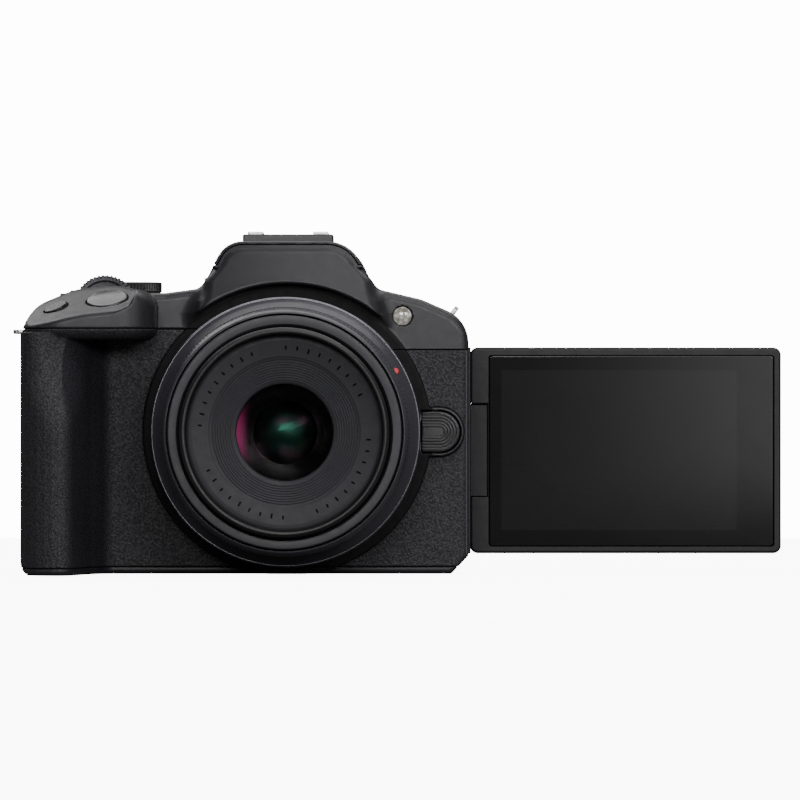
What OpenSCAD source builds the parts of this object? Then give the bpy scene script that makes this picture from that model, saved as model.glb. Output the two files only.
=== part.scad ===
// Compact interchangeable-lens camera with a vari-angle screen and a retracting zoom lens.
// +Z is up and -Y is forward. The origin is the mouth of the tripod socket, below the optical axis,
// and y = 0 is the sensor plane.

/* [Body] */
// Distance from the optical axis to the grip side
grip_side = 68.2; // [67.8:0.2:68.6]
// Distance from the optical axis to the hinge side
hinge_side = 46; // [45.8:0.1:46.2]
// Distance from the sensor plane to the front face
front_depth = 17; // [16.8:0.1:17.2]
// Distance from the sensor plane to the back face
back_depth = 18; // [17.9:0.1:18.2]
// Distance from the sensor plane to the front of the grip
grip_depth = 41; // [40:0.5:42]
// Height of the viewfinder hump
hump_h = 84.3; // [84.1:0.1:84.5]
// Thickness of the plastic covers
wall = 1.8; // [1.6:0.1:1.8]
// Thickness of the rubber skins
skin_t = 1; // [0.8:0.1:1]

/* [Lens] */
// Height of the optical axis above the base
axis_h = 36; // [35.8:0.1:36.2]
// Distance from the sensor plane to the mount flange
flange_f = 20; // [19.9:0.1:20.1]
// Radius of the zoom ring
zoom_r = 33.7; // [33.4:0.1:34]
// Radius of the control ring
control_r = 31; // [30.6:0.1:31.2]
// Radius of the extending barrel
inner_r = 26; // [25.9:0.05:26]
// Radius of the filter thread
filter_r = 24.5; // [24.4:0.1:24.6]

/* [Screen] */
// Width of the screen panel
panel_w = 80; // [78:1:80]
// Height of the screen panel
panel_h = 53; // [52:0.5:53]
// Thickness of the screen panel
panel_t = 5.6; // [5.4:0.1:5.6]

/* [Hidden] */
$fn = 96;
big = 200;
gap = 0.3;              // play around a moving piece
seam_grip = 62;         // top cover's lower edge on the grip side
seam_hinge = 56.8;      // top cover's lower edge on the hinge side
seam_rear = 59.5;       // top cover's lower edge at the back
split_y = 5;            // where the front cover meets the rear cover
shelf_z = 59;           // underside of the shelf that carries the shutter button
shelf_front = 38.5;
deck_z = 71.3;          // level deck behind the shelf
collar_r = 36.3;
collar_f = 19.6;
throat_r = 27;
brow_r = 37.4;
brow_f = 24;
skin_back = 9;          // how far back the grip's skin wraps

// The shutter button's seat and the multi-function button's seat: a point and an outward normal.
shutter_at = [-45.1, -29, 69.4];
shutter_n = [-0.13, -0.42, 0.9];
multi_at = [-58.2, -28, 67.7];
multi_n = [-0.43, -0.4, 0.81];

dial_at = [-46.2, -14.5, 68.4];
dial_n = [0, -0.906, 0.423];
dial_r = 7.5;
dial_half = 1.5;
mode_at = [-40.5, 4];
mode_r = 8.2;
power_at = [-52.5, 9.5];
movie_at = [-51, -4];
iso_at = [-56, 0.8];

hinge_x = hinge_side + 0.3;
panel_y = back_depth - panel_t / 2;
panel_x = hinge_side + 0.6;
panel_z = 4.6;
tilt_z = panel_z + panel_h / 2;
recess_y = back_depth - panel_t - 0.3;
block_h = 23;
barrel_h = 20.8;
notch_h = 24.2;
notch_w = 4.5;
barrel_r = 2.4;
arm_x = 3;              // how far the hinge block's cut-outs reach from its pin

shoe_top = hump_h + 2.8;
flash_y = -3.6;
flash_z = hump_h - 3.8;      // the lid's radius below the top
flash_front = -20;
lid_t = 1.6;
lid_r = 3.8;
lid_low = 77.1;

port_y = [-12.1, -1];
port_z = [9, 31];
port_h = 20;

pad_at = [-51, 27];
door_x = [-65.2, -44.6];
door_y = [-36.2, 11.6];
door_pin = [12.9, 1.1];
knuckle_x = [-62, -48];
latch_y = -33.2;
screw_places = [[-30, -10], [-30, 8.4], [35, -10], [35, 8.4]];

// ---------- Helpers ----------
function unit(v) = v / norm(v);
function sweep_angle(a, b) = let (d = b - a) d > 180 ? d - 360 : d < -180 ? d + 360 : d;

// The points that round corner b, between a and c, with radius r.
function corner(a, b, c, r, steps = 6) =
    r == 0 ? [b] :
    let (u = unit(a - b), v = unit(c - b), half = acos(u * v) / 2,
         m = b + unit(u + v) * r / sin(half),
         p = b + u * r / tan(half), q = b + v * r / tan(half),
         from = atan2(p.y - m.y, p.x - m.x),
         turn = sweep_angle(from, atan2(q.y - m.y, q.x - m.x)))
    [for (i = [0:steps]) m + r * [cos(from + turn * i / steps), sin(from + turn * i / steps)]];

// A closed outline from [x, y, corner radius] rows.
function rounded(rows) =
    let (n = len(rows), p = [for (row = rows) [row.x, row.y]])
    [for (i = [0:n - 1]) each corner(p[(i + n - 1) % n], p[i], p[(i + 1) % n], rows[i][2])];

// Extrudes an x-z drawing from y0 back to y1.
module slab(y0, y1) {
    translate([0, y1, 0]) rotate([90, 0, 0]) linear_extrude(y1 - y0) children();
}

// A box from its lowest to its highest corner.
module box(low, high) {
    translate(low) cube(high - low);
}

// A box with rounded edges along Z.
module round_box(low, high, r) {
    size = high - low;
    translate([low.x, low.y, low.z]) linear_extrude(size.z)
        polygon(rounded([[0, 0, r], [size.x, 0, r], [size.x, size.y, r], [0, size.y, r]]));
}

// The pin that locks the lens, or with a larger radius the hole that it slides in.
module lock_pin(r, tip_f) {
    translate([29.5, -12.5, axis_h]) rotate([90, 0, 0]) cylinder(r = r, h = tip_f - 12.5);
}

// Its child's +Z points along n, from the point at.
module facing(at, n) {
    translate(at) rotate([0, acos(n.z / norm(n)), atan2(n.y, n.x)]) children();
}

// Everything on the outer side of a plane.
module beyond(at, n, inset = 0) {
    facing(at - unit(n) * inset, n) translate([-big / 2, -big / 2, 0]) cube([big, big, big / 2]);
}

// Turns a drawing of [radius, distance in front of the sensor plane] about the optical axis.
module turned() {
    translate([0, 0, axis_h]) rotate([90, 0, 0]) rotate_extrude() children();
}

// A ring about the optical axis.
module ring(r_in, r_out, f0, f1) {
    translate([0, 0, axis_h]) rotate([90, 0, 0]) translate([0, 0, f0]) difference() {
        cylinder(r = r_out, h = f1 - f0);
        if (r_in > 0) translate([0, 0, -1]) cylinder(r = r_in, h = f1 - f0 + 2);
    }
}

// A round key that presses into the back face, and the hole that it needs.
module rear_key(at, r, y0, y1) {
    translate([at.x, y1, at.y]) rotate([90, 0, 0]) cylinder(r = r, h = y1 - y0);
}

// A round key on the deck, and the hole that it needs.
module deck_key(at, r, z0, z1) {
    translate([at.x, at.y, z0]) cylinder(r = r, h = z1 - z0);
}

// ---------- The outer form of the body, which the covers share ----------
front_outline = rounded([
    [-grip_side, 0, 3], [hinge_side - 4.4, 0, 1], [hinge_side, 4.6, 1], [hinge_side, 64.4, 9],
    [34, 69.6, 10], [22.5, 72.3, 3], [15.6, hump_h, 5], [-15.6, hump_h, 5], [-21.6, 72.6, 4],
    [-31, 71.2, 3], [-39, 73.2, 6], [-55, 73, 9], [-66.6, 66, 5], [-grip_side, 58, 4]
]);
lower_plan = rounded([
    [hinge_side, back_depth, 1.5], [hinge_side, -front_depth, 2.5], [-45.5, -front_depth, 4],
    [-52.5, -grip_depth, 7], [-grip_side, -grip_depth, 10], [-grip_side, back_depth, 5]
]);
upper_plan = rounded([
    [hinge_side, back_depth, 1.5], [hinge_side, -front_depth, 2.5], [-32, -front_depth, 0.8],
    [-33, -shelf_front, 6], [-grip_side, -shelf_front, 11], [-grip_side, back_depth, 5]
]);

module front_shape(inset) {
    offset(delta = -inset) polygon(front_outline);
}

module plan_shape(points, inset, z0, z1) {
    translate([0, 0, z0]) linear_extrude(z1 - z0) offset(delta = -inset) polygon(points);
}

module hump_front(inset) {
    difference() {
        slab(-brow_f + inset, -front_depth + 3)
            intersection() {
                front_shape(inset);
                translate([-24 + inset, 60]) square([48 - 2 * inset, 30]);
            }
        beyond([0, -brow_f, 68], [0, -0.93, 0.36], inset);
        ring(0, brow_r + inset, front_depth - 8, brow_f + 5);
    }
}

module body_form(inset) {
    difference() {
        intersection() {
            slab(-60, 40) front_shape(inset);
            union() {
                plan_shape(lower_plan, inset, 0, shelf_z + inset + 1);
                plan_shape(upper_plan, inset, shelf_z + inset, 90);
            }
        }
        intersection() {
            beyond(shutter_at, shutter_n, inset);
            box([-80, -60, 50], [-31.5, -8, 90]);
        }
        beyond(multi_at, multi_n, inset);
        box([-80, -8 - inset, deck_z - inset], [-24, 60, 100]);
    }
    hump_front(inset);
}

module shell(t) {
    difference() {
        body_form(0);
        body_form(t);
    }
}

// Where the covers are cut for the screen panel, folded flat against the back.
module screen_recess() {
    box([hinge_x * 2 - panel_x - panel_w - 0.8, recess_y, 3.9], [big / 2, 40, 58.4]);
}

module skin_zone() {
    box([-80, -60, wall], [-0.5, skin_back, seam_grip]);
    box([0.5, -60, wall], [hinge_side - 1.5, -front_depth + 6, seam_hinge]);
}

module mount_hole(clearance = 0) {
    ring(0, throat_r + 4.6 + clearance, 0, 40);
}

module release_shape(grow) {
    translate([34, axis_h - 5.2 - grow]) square([4.6, 10.4 + 2 * grow]);
    translate([38.6, axis_h]) circle(r = 5.2 + grow);
}

module release_boss() {
    translate([30, axis_h - 8]) square([8.6, 16]);
    translate([38.6, axis_h]) circle(r = 7);
}

module port_holes() {
    for (z = port_z)
        box([hinge_side - 5, port_y[0] - 1.6, z - 0.2], [hinge_side + 5, port_y[1] + 0.2, z + port_h + 0.2]);
}

module port_pin(z, r, z0, z1) {
    translate([hinge_side - 0.85, port_y[0] - 0.5, z0]) cylinder(r = r, h = z1 - z0);
}

module dial_well() {
    facing(dial_at, dial_n) translate([0, 0, -dial_half - gap]) {
        cylinder(r = dial_r + gap, h = 2 * (dial_half + gap));
        translate([0, 0, -2.5]) cylinder(r = 1.6, h = 4);
    }
}

// ---------- Covers ----------
module front_cover() {
    color([0.1, 0.1, 0.11]) difference() {
        union() {
            difference() {
                intersection() {
                    shell(wall + skin_t);
                    below_seam();
                }
                difference() {
                    skin_zone();
                    body_form(skin_t);
                }
                // Opens the underside to the bottom cover.
                intersection() {
                    translate([0, 0, -1.5]) body_form(wall + skin_t);
                    box([-80, -60, 0], [80, 60, 4]);
                }
            }
            intersection() {
                collar();
                below_seam();
            }
            slab(-19, -front_depth + 1.5) release_boss();
        }
        mount_hole();
        slab(-30, 0) release_shape(gap);
        port_holes();
        screen_recess();
        dial_well();
        strap_slots();
    }
    color([0.1, 0.1, 0.11]) for (z = port_z) port_pin(z, 0.35, z - 1, z + port_h + 1);
}

// The ring of the body around the lens mount.
module collar() {
    ring(throat_r + 4.6, collar_r, front_depth - 1.8, collar_f);
}

module below_seam() {
    box([-80, -60, wall], [0, split_y, seam_grip]);
    box([0, -60, wall], [80, split_y, seam_hinge]);
}

module above_seam() {
    box([-80, -60, seam_grip], [0, split_y, 100]);
    box([0, -60, seam_hinge], [80, split_y, 100]);
    box([-80, split_y, seam_rear], [80, 60, 100]);
}

module strap_slots() {
    box([-75, -2.3, 60.6], [-60, 8.3, 62.3]);
}

module flash_pocket() {
    slab(flash_front - 0.3, flash_y) intersection() {
        difference() {
            offset(delta = 2) polygon(front_outline);
            offset(delta = -lid_t - 0.3) polygon(front_outline);
        }
        translate([-40, lid_low - 0.3]) square([80, 20]);
    }
    lid_knuckle(lid_r + gap);
    // Room for the lid's flat top as it swings back.
    box([-18.5, flash_y, flash_z], [18.5, flash_y + 3.1, 100]);
}

// The round back end of the flash cover, which turns about the pin, or the hollow behind it.
module lid_knuckle(r) {
    translate([-18.5, flash_y, flash_z]) rotate([0, 90, 0]) cylinder(r = r, h = 37);
}

module top_cover() {
    color([0.12, 0.12, 0.13]) difference() {
        union() {
            intersection() {
                union() {
                    shell(wall);
                    collar();
                    dial_cup();
                }
                above_seam();
            }
            viewfinder_housing();
            // Floor under the flash cover, closed at its back.
            intersection() {
                body_form(0.5);
                union() {
                    box([-40, -40, 74.6], [40, 1.6, 75.8]);
                    box([-40, 0.9, 74.6], [40, 1.9, 90]);
                }
            }
        }
        mount_hole();
        flash_pocket();
        box([-11.7, -0.8, hump_h - 0.65], [11.7, 30, 90]);
        facing(shutter_at, shutter_n) translate([0, 0, -8]) cylinder(r = 5.2 + gap, h = 16);
        facing(multi_at, multi_n) translate([0, 0, -8]) cylinder(r = 3 + gap, h = 16);
        dial_well();
        deck_key(mode_at, 3 + gap, 60, 80);
        deck_key(power_at, 2 + gap, 60, 80);
        deck_key(movie_at, 2.5 + gap, 60, 80);
        deck_key(iso_at, 2.3 + gap, 60, 80);
        rear_key([-50, 64.5], 2.7 + gap, 5, 30);
        rear_key([-60, 64], 2.7 + gap, 5, 30);
        viewfinder_hollow();
        translate([-25, 20, 72]) rotate([0, 90, 0]) cylinder(r = 4, h = 5.7);
        translate([-25, 20, 72]) rotate([0, 90, 0]) cylinder(r = 1.05, h = 7.1);
        translate([29.2, -10, 65.3]) rotate([90, 0, 0]) cylinder(r = 2.7, h = 20);
        strap_slots();
        facing([41.6, 3, 65.6], [0.6, 0, 0.8]) translate([-1, -4.3, -3]) cube([2, 8.6, 8]);
        screen_recess();
    }
    // Pillars that carry the flash cover's pin.
    color([0.12, 0.12, 0.13]) difference() {
        for (side = [-1, 1])
            box([side * 12.7 - 0.8, flash_y - 1.8, 75.2], [side * 12.7 + 0.8, flash_y + 1.3, flash_z + 1.4]);
        flash_pin(0.05);
    }
}

// The pocket that the main dial turns in.
module dial_cup() {
    intersection() {
        body_form(0.3);
        facing(dial_at, dial_n) translate([0, 0, -dial_half - gap - 1.2])
            cylinder(r = dial_r + gap + 1.2, h = 2 * (dial_half + gap + 1.2));
    }
}

module viewfinder_housing() {
    translate([0, 24, 70.5]) rotate([90, 0, 0]) linear_extrude(8)
        polygon(rounded([[-20.5, -10.6, 4], [20.5, -10.6, 4], [18.5, 10.4, 5], [-18.5, 10.4, 5]]));
}

module viewfinder_hollow() {
    box([-17, 3, 61.7], [17, 19.5, 79.3]);
    box([-16.9, 21.8, 61.8], [16.9, 40, 79.2]);
    translate([0, 22, 70.5]) rotate([90, 0, 0]) round_window(4, 26.1, 14.1);
}

module rear_cover() {
    color([0.11, 0.11, 0.12]) difference() {
        union() {
            intersection() {
                shell(wall);
                box([-80, split_y, wall], [80, 60, seam_rear]);
            }
            // Floor of the bay that the screen folds into.
            intersection() {
                body_form(0.5);
                box([-37, recess_y - wall, wall], [60, recess_y, seam_rear]);
            }
            intersection() {
                body_form(0);
                union() {
                    box([-37, recess_y - wall, wall], [60, back_depth, 3.9]);
                    box([-37, recess_y - wall, 3.9], [-34.5, back_depth, seam_rear]);
                }
            }
            // Bosses for the two back screws.
            for (p = screw_places) if (p.y > 0) {
                translate([p.x, p.y, wall]) cylinder(r = 2.1, h = 5.5);
                box([p.x - 1, p.y, wall], [p.x + 1, recess_y - 1, wall + 5.5]);
            }
        }
        screen_recess();
        intersection() {
            box([-80, 0, wall - 1], [-0.5, skin_back, seam_grip]);
            difference() {
                box([-80, -60, 0], [-60, skin_back, seam_grip]);
                body_form(skin_t);
            }
        }
        rear_key(pad_at, 9.3 + gap, 10, 30);
        for (key = [[-40.5, 53], [-40.5, 43.5], [-58, 11.5]]) rear_key(key, 2.8 + gap, 10, 30);
        strap_slots();
        at_ears() box([-2.3, -20, -0.55], [0, 20, 0.55]);
        for (p = screw_places) translate([p.x, p.y, -1]) cylinder(r = 1.1, h = 7);
    }
}

module bottom_cover() {
    color([0.1, 0.1, 0.11]) difference() {
        intersection() {
            body_form(0);
            box([-80, -60, 0], [80, 60, wall]);
        }
        translate([0, 0, -1]) linear_extrude(5) door_outline(0);
        box([knuckle_x[0] - 0.5, door_y[1] - 1, -1], [knuckle_x[1] + 0.5, door_pin[0] + 1.5, 5]);
        cylinder(r = 5.55, h = 20, center = true);
        for (p = screw_places) translate([p.x, p.y, -1]) cylinder(r = 1.55, h = 5);
    }
    color([0.1, 0.1, 0.11]) door_axis(0.4, knuckle_x[0] - 2, knuckle_x[1] + 2);
}

// The door or, with no inset, its opening. Its back edge has more play, for the swing.
module door_outline(inset) {
    intersection() {
        offset(delta = -2.4 - inset) polygon(lower_plan);
        translate([door_x[0] + inset, door_y[0] + inset])
            square([door_x[1] - door_x[0] - 2 * inset, door_y[1] - door_y[0] - 4 * inset]);
    }
}

module door_axis(r, x0, x1) {
    translate([x0, door_pin[0], door_pin[1]]) rotate([0, 90, 0]) cylinder(r = r, h = x1 - x0);
}

module grip_skin() {
    color([0.07, 0.07, 0.075]) difference() {
        intersection() {
            body_form(0);
            box([-80, -60, wall], [-0.5, skin_back, seam_grip - 0.05]);
        }
        body_form(skin_t);
        ring(0, collar_r + 0.05, -5, 60);
        box([-16, -60, 50], [0, 0, 70]);
        strap_slots();
    }
}

module front_skin() {
    color([0.07, 0.07, 0.075]) difference() {
        intersection() {
            body_form(0);
            box([0.5, -60, wall], [hinge_side - 1.55, -front_depth + 1, seam_hinge - 0.05]);
        }
        body_form(skin_t);
        ring(0, collar_r + 0.05, -5, 60);
        slab(-30, 0) offset(delta = 0.05) release_boss();
    }
}

module battery_door() {
    color([0.11, 0.11, 0.12]) difference() {
        union() {
            linear_extrude(1.6) door_outline(0.2);
            door_axis(1.1, knuckle_x[0], knuckle_x[1]);
            box([knuckle_x[0], door_y[1] - 2, 0.4], [knuckle_x[1], door_pin[0], 1.6]);
        }
        box([-61.2, latch_y, -1], [-54.8, latch_y + 8.4, 5]);
        box([-61.8, latch_y - 0.6, 0.8], [-54.2, latch_y + 9, 5]);
        door_axis(0.45, -80, 0);
    }
}

module battery_latch() {
    color([0.16, 0.16, 0.17]) {
        box([-61, latch_y + 0.2, 0.05], [-55, latch_y + 6.2, 0.95]);
        box([-61.6, latch_y - 0.4, 0.95], [-54.4, latch_y + 6.8, 1.55]);
    }
}

// ---------- Inside the body ----------
module chassis() {
    color([0.55, 0.56, 0.58]) difference() {
        union() {
            box([-31, -14, 1.8], [38.4, -11.8, 55.5]);
            box([-31, -14, 1.8], [38.4, 5.8, 4]);
            box([-31, -14, 4], [-29.2, 4, 55.5]);
            box([-50, -12, 52.3], [-29.2, 4, 53.5]);
            intersection() {
                union() {
                    battery_chamber();
                    card_holder();
                }
                body_form(wall + skin_t + 0.1);
                translate([0, 0, -1]) body_form(wall + skin_t + 0.1);
            }
        }
        ring(0, throat_r - 1, 0, 30);
        cylinder(r = 5.5, h = 30, center = true);
        for (p = screw_places) translate([p.x, p.y, -1]) cylinder(r = 1.1, h = 9);
        flange_screws(0.95);
        slab(-20, 0) release_shape(gap);
        box([27.9, -20, axis_h - 2.4], [34.5, 0, axis_h + 2.4]);
    }
}

cell_low = [-64.5, -25.7, 2.2];
cell_high = [-50.6, 7.3, 51.6];

module battery_chamber() {
    difference() {
        round_box(cell_low - [0.8, 0.8, 0.4], cell_high + [0.8, 0.8, 1.9], 2.6);
        round_box(cell_low - [0.1, 0.1, 2], cell_high + [0.1, 0.1, 0.1], 2);
    }
}

module card_holder() {
    difference() {
        box([-49.8, -11.9, 1.8], [-45, 12.2, 37]);
        box([-48.5, -10.7, 0], [-46.2, 13.5, 35.6]);
    }
}

module tripod_socket() {
    color([0.75, 0.75, 0.76]) difference() {
        union() {
            cylinder(r = 5.5, h = 7.4);
            translate([0, 0, 4]) cylinder(r = 7.5, h = 1.6);
        }
        translate([0, 0, -1]) cylinder(r = 3.175, h = 7);
    }
}

module screws() {
    color([0.2, 0.2, 0.21]) {
        for (p = screw_places) difference() {
            translate([p.x, p.y, 0.2]) union() {
                cylinder(r = 1.5, h = 1.2);
                cylinder(r = 1, h = 4.8);
            }
            translate([p.x - 0.2, p.y - 1, -0.3]) cube([0.4, 2, 1]);
            translate([p.x - 1, p.y - 0.2, -0.3]) cube([2, 0.4, 1]);
        }
        flange_screws(0.9);
    }
}

module flange_screws(r) {
    for (a = [45:90:315]) translate([0, 0, axis_h]) rotate([90, 0, 0])
        translate([29.3 * cos(a), 29.3 * sin(a), 12]) cylinder(r = r, h = flange_f - 12.1);
}

module mount_flange() {
    color([0.78, 0.78, 0.8]) difference() {
        union() {
            ring(throat_r, throat_r + 4.5, front_depth + 0.5, flange_f);
            ring(throat_r, throat_r + 1.2, 14, flange_f);
            for (a = [30, 150, 270]) intersection() {
                ring(throat_r - 1.6, throat_r + 0.5, 18.6, flange_f);
                wedge(a - 20, a + 20);
            }
        }
        flange_screws(0.95);
        lock_pin(1.06, 40);
    }
}

// The sector between two angles about the optical axis.
module wedge(from, to) {
    translate([0, 0, axis_h]) rotate([90, 0, 0]) linear_extrude(80)
        polygon([[0, 0], for (a = [from:5:to]) 60 * [cos(a), sin(a)]]);
}

module release_button() {
    color([0.1, 0.1, 0.105]) {
        slab(-18.8, -12) release_shape(0);
        // Locking pin, which reaches through the flange into the lens.
        slab(-13.5, -12) translate([28.3, axis_h - 2]) square([7, 4]);
        lock_pin(1, flange_f + 0.8);
    }
}

module lamp_lens() {
    color([0.8, 0.78, 0.74]) translate([29.2, -13, 65.3]) rotate([90, 0, 0]) {
        cylinder(r = 2.55, h = 4);
        translate([0, 0, 4]) intersection() {
            translate([0, 0, -3.2]) sphere(r = 4.1);
            cylinder(r = 2.55, h = 2);
        }
    }
}

module image_sensor() {
    color([0.25, 0.3, 0.35]) slab(0, 1.4) translate([-13, axis_h - 9.5]) square([26, 19]);
    color([0.1, 0.3, 0.2]) slab(1.4, 2.4) translate([-18, axis_h - 14]) square([36, 28]);
    for (x = [-16, 16], z = [-12, 12]) translate([x, 4.6, axis_h + z]) rotate([90, 0, 0]) cylinder(r = 1.2, h = 2.4);
}

module shutter_frame() {
    color([0.2, 0.2, 0.22]) difference() {
        box([-20, -11.8, 8], [20, -5, 50]);
        slab(-20, 0) translate([-12, axis_h - 8.4]) square([24, 16.8]);
        box([-14.3, -7.5, 8.7], [14.3, -6.5, axis_h + 9.2]);
    }
}

module shutter_curtain() {
    color([0.1, 0.1, 0.1]) box([-14, -7.2, 9.2], [14, -6.8, axis_h - 8.9]);
}

module main_board() {
    color([0.08, 0.3, 0.18]) difference() {
        box([-27, 4.6, 4], [40, 5.8, 56]);
        box([-8, 4, 3], [8, 7, 7.8]);
    }
    color([0.15, 0.15, 0.16]) {
        box([-8, 5.8, 26], [8, 7.2, 42]);
        box([-22, 5.8, 12], [-12, 7, 22]);
        box([16, 5.8, 30], [30, 7, 40]);
        box([14, 5.8, 10], [26, 8.4, 16]);
    }
}

module battery() {
    color([0.2, 0.2, 0.22]) round_box(cell_low, cell_high, 2);
}

module memory_card() {
    color([0.12, 0.2, 0.45]) difference() {
        box([-48.4, -10.6, 3], [-46.3, 12, 35]);
        facing([-46, -10.6, 35], [0, -1, 1]) translate([-5, -5, -2]) cube([10, 10, 10]);
    }
}

module viewfinder_optics() {
    color([0.7, 0.8, 0.9]) {
        translate([0, 21.7, 70.5]) rotate([90, 0, 0]) round_window(1.5, 26, 14);
        translate([0, 17, 70.5]) rotate([90, 0, 0]) cylinder(r = 6.3, h = 4);
        translate([0, 11.5, 70.5]) rotate([90, 0, 0]) cylinder(r = 6.3, h = 2.5);
    }
    // Tube with the display at its front end.
    color([0.1, 0.1, 0.12]) {
        difference() {
            box([-7.4, 3.2, 63.6], [7.4, 19.5, 74.4]);
            translate([0, 40, 70.5]) rotate([90, 0, 0]) cylinder(r = 6.3, h = 34.8);
        }
        box([-6.4, 3.4, 66], [6.4, 5, 74]);
    }
}

module round_window(t, w, h, r = 3) {
    linear_extrude(t)
        polygon(rounded([[-w / 2, -h / 2, r], [w / 2, -h / 2, r], [w / 2, h / 2, r], [-w / 2, h / 2, r]]));
}

module eyecup() {
    color([0.06, 0.06, 0.06]) translate([0, 27.8, 70.5]) rotate([90, 0, 0]) difference() {
        union() {
            round_window(3.8, 40, 21.4, 5);
            translate([0, 0, 3.8]) round_window(2.2, 33.6, 17.2, 2);
        }
        translate([0, 0, -1]) round_window(8, 27, 15.4, 3.5);
    }
}

module diopter_knob() {
    color([0.12, 0.12, 0.13]) translate([-21.8, 20, 72]) rotate([0, 90, 0]) {
        cylinder(r = 3.6, h = 2.2);
        cylinder(r = 1, h = 3.7);
    }
}

// ---------- Controls ----------
module shutter_button() {
    color([0.14, 0.14, 0.15]) facing(shutter_at, shutter_n) {
        translate([0, 0, -1.4]) cylinder(r = 5.2, h = 2.6);
        translate([0, 0, -4.5]) cylinder(r = 2, h = 3.5);
    }
}

module multi_button() {
    color([0.16, 0.16, 0.17]) facing(multi_at, multi_n) {
        translate([0, 0, -2]) cylinder(r = 3, h = 2.5);
        translate([0, 0, -4]) cylinder(r = 1.2, h = 2.2);
    }
}

module main_dial() {
    color([0.13, 0.13, 0.14]) facing(dial_at, dial_n) translate([0, 0, -dial_half]) {
        cylinder(r = dial_r, h = 2 * dial_half);
        translate([0, 0, -2.4]) cylinder(r = 1.3, h = 3);
    }
}

module mode_dial() {
    color([0.1, 0.1, 0.11]) {
        deck_key(mode_at, mode_r, deck_z + 0.2, 74.2);
        deck_key(mode_at, 3, 66, deck_z + 0.3);
    }
}

module power_lever() {
    color([0.13, 0.13, 0.14]) {
        deck_key(power_at, 3.6, deck_z + 0.2, deck_z + 1);
        deck_key(power_at, 2, 66, deck_z + 0.3);
        translate([power_at.x, power_at.y, deck_z + 0.2]) rotate(75) translate([0, -1.2, 0])
            cube([6.2, 2.4, 1]);
    }
}

module movie_button() {
    color([0.13, 0.13, 0.14]) deck_key(movie_at, 2.5, 68, deck_z + 0.6);
}

module iso_button() {
    color([0.13, 0.13, 0.14]) deck_key(iso_at, 2.3, 66, deck_z);
}

module menu_button() {
    color([0.14, 0.14, 0.15]) rear_key([-40.5, 53], 2.8, 15, back_depth + 0.5);
}

module info_button() {
    color([0.14, 0.14, 0.15]) rear_key([-40.5, 43.5], 2.8, 15, back_depth + 0.5);
}

module play_button() {
    color([0.14, 0.14, 0.15]) rear_key([-58, 11.5], 2.8, 15, back_depth + 0.5);
}

module lock_button() {
    color([0.14, 0.14, 0.15]) rear_key([-50, 64.5], 2.7, 15, back_depth + 0.5);
}

module focus_point_button() {
    color([0.14, 0.14, 0.15]) rear_key([-60, 64], 2.7, 14.6, back_depth + 0.5);
}

module direction_pad() {
    color([0.13, 0.13, 0.14]) difference() {
        rear_key(pad_at, 9.3, 16.2, back_depth + 0.7);
        rear_key(pad_at, 4.4, 10, 30);
    }
}

module set_button() {
    color([0.13, 0.13, 0.14]) rear_key(pad_at, 4.1, 15.4, back_depth + 0.6);
}

module strap_lugs() {
    color([0.75, 0.75, 0.76]) {
        difference() {
            box([-70.2, -2, 60.9], [-64.5, 8, 62]);
            box([-69.4, 0, 60], [-68.4, 6, 63]);
        }
        facing([41.6, 3, 65.6], [0.6, 0, 0.8]) difference() {
            translate([-0.6, -4, -2.5]) cube([1.2, 8, 5.3]);
            translate([-2, -2.4, 1]) cube([4, 4.8, 1]);
        }
    }
}

module port_cover(z) {
    color([0.09, 0.09, 0.095]) difference() {
        union() {
            box([hinge_side - 1.5, port_y[0], z], [hinge_side, port_y[1], z + port_h]);
            port_pin(z, 0.85, z, z + port_h);
        }
        port_pin(z, 0.4, z - 1, z + port_h + 1);
    }
}

module port_cover_upper() {
    port_cover(port_z[1]);
}

module port_cover_lower() {
    port_cover(port_z[0]);
}

module port_sockets() {
    color([0.6, 0.6, 0.62]) {
        for (z = [14, 24]) difference() {
            box([38, -11, z - 1.7], [hinge_side - 2.2, -2, z + 1.7]);
            box([40, -10.4, z - 1.1], [60, -2.6, z + 1.1]);
        }
        for (z = [36, 46]) translate([38, -6.5, z]) rotate([0, 90, 0]) difference() {
            cylinder(r = 3, h = hinge_side - 40.2);
            translate([0, 0, 2]) cylinder(r = 1.75, h = 20);
        }
        box([36.8, -10.2, 10], [38, 4.6, 50]);
    }
}

// ---------- Flash ----------
head_y = [-15.4, -6.8];
head_z = 78.6;

module flash_pin(grow) {
    translate([-14.2, flash_y, flash_z]) rotate([0, 90, 0]) cylinder(r = 0.8 + grow, h = 28.4);
}

module flash_cover() {
    color([0.13, 0.13, 0.14]) {
        intersection() {
            slab(flash_front, flash_y + lid_r) intersection() {
                difference() {
                    polygon(front_outline);
                    offset(delta = -lid_t) polygon(front_outline);
                }
                translate([-40, lid_low]) square([80, 20]);
            }
            union() {
                box([-40, flash_front, 60], [40, flash_y, 100]);
                lid_knuckle(lid_r);
            }
        }
        // Head under the lid.
        difference() {
            box([-12.4, head_y[0], head_z], [12.4, head_y[1], hump_h - lid_t + 0.1]);
            box([-11, head_y[0] + 1, head_z - 1], [11, head_y[1] - 1, head_z + 2.2]);
        }
        // Arms on the pin, inside the pillars.
        for (side = [-1, 1]) {
            translate([side * 10.7 - 0.9, flash_y, flash_z]) rotate([0, 90, 0]) cylinder(r = 1.6, h = 1.8);
            box([side * 10.7 - 0.9, head_y[1] - 0.5, flash_z - 1.6],
                [side * 10.7 + 0.9, flash_y, hump_h - lid_t + 0.1]);
        }
        flash_pin(0);
    }
}

module flash_window() {
    color([0.85, 0.86, 0.85]) box([-10.9, head_y[0] + 1.1, head_z + 0.05],
        [10.9, head_y[1] - 1.1, head_z + 2.1]);
}

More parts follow.
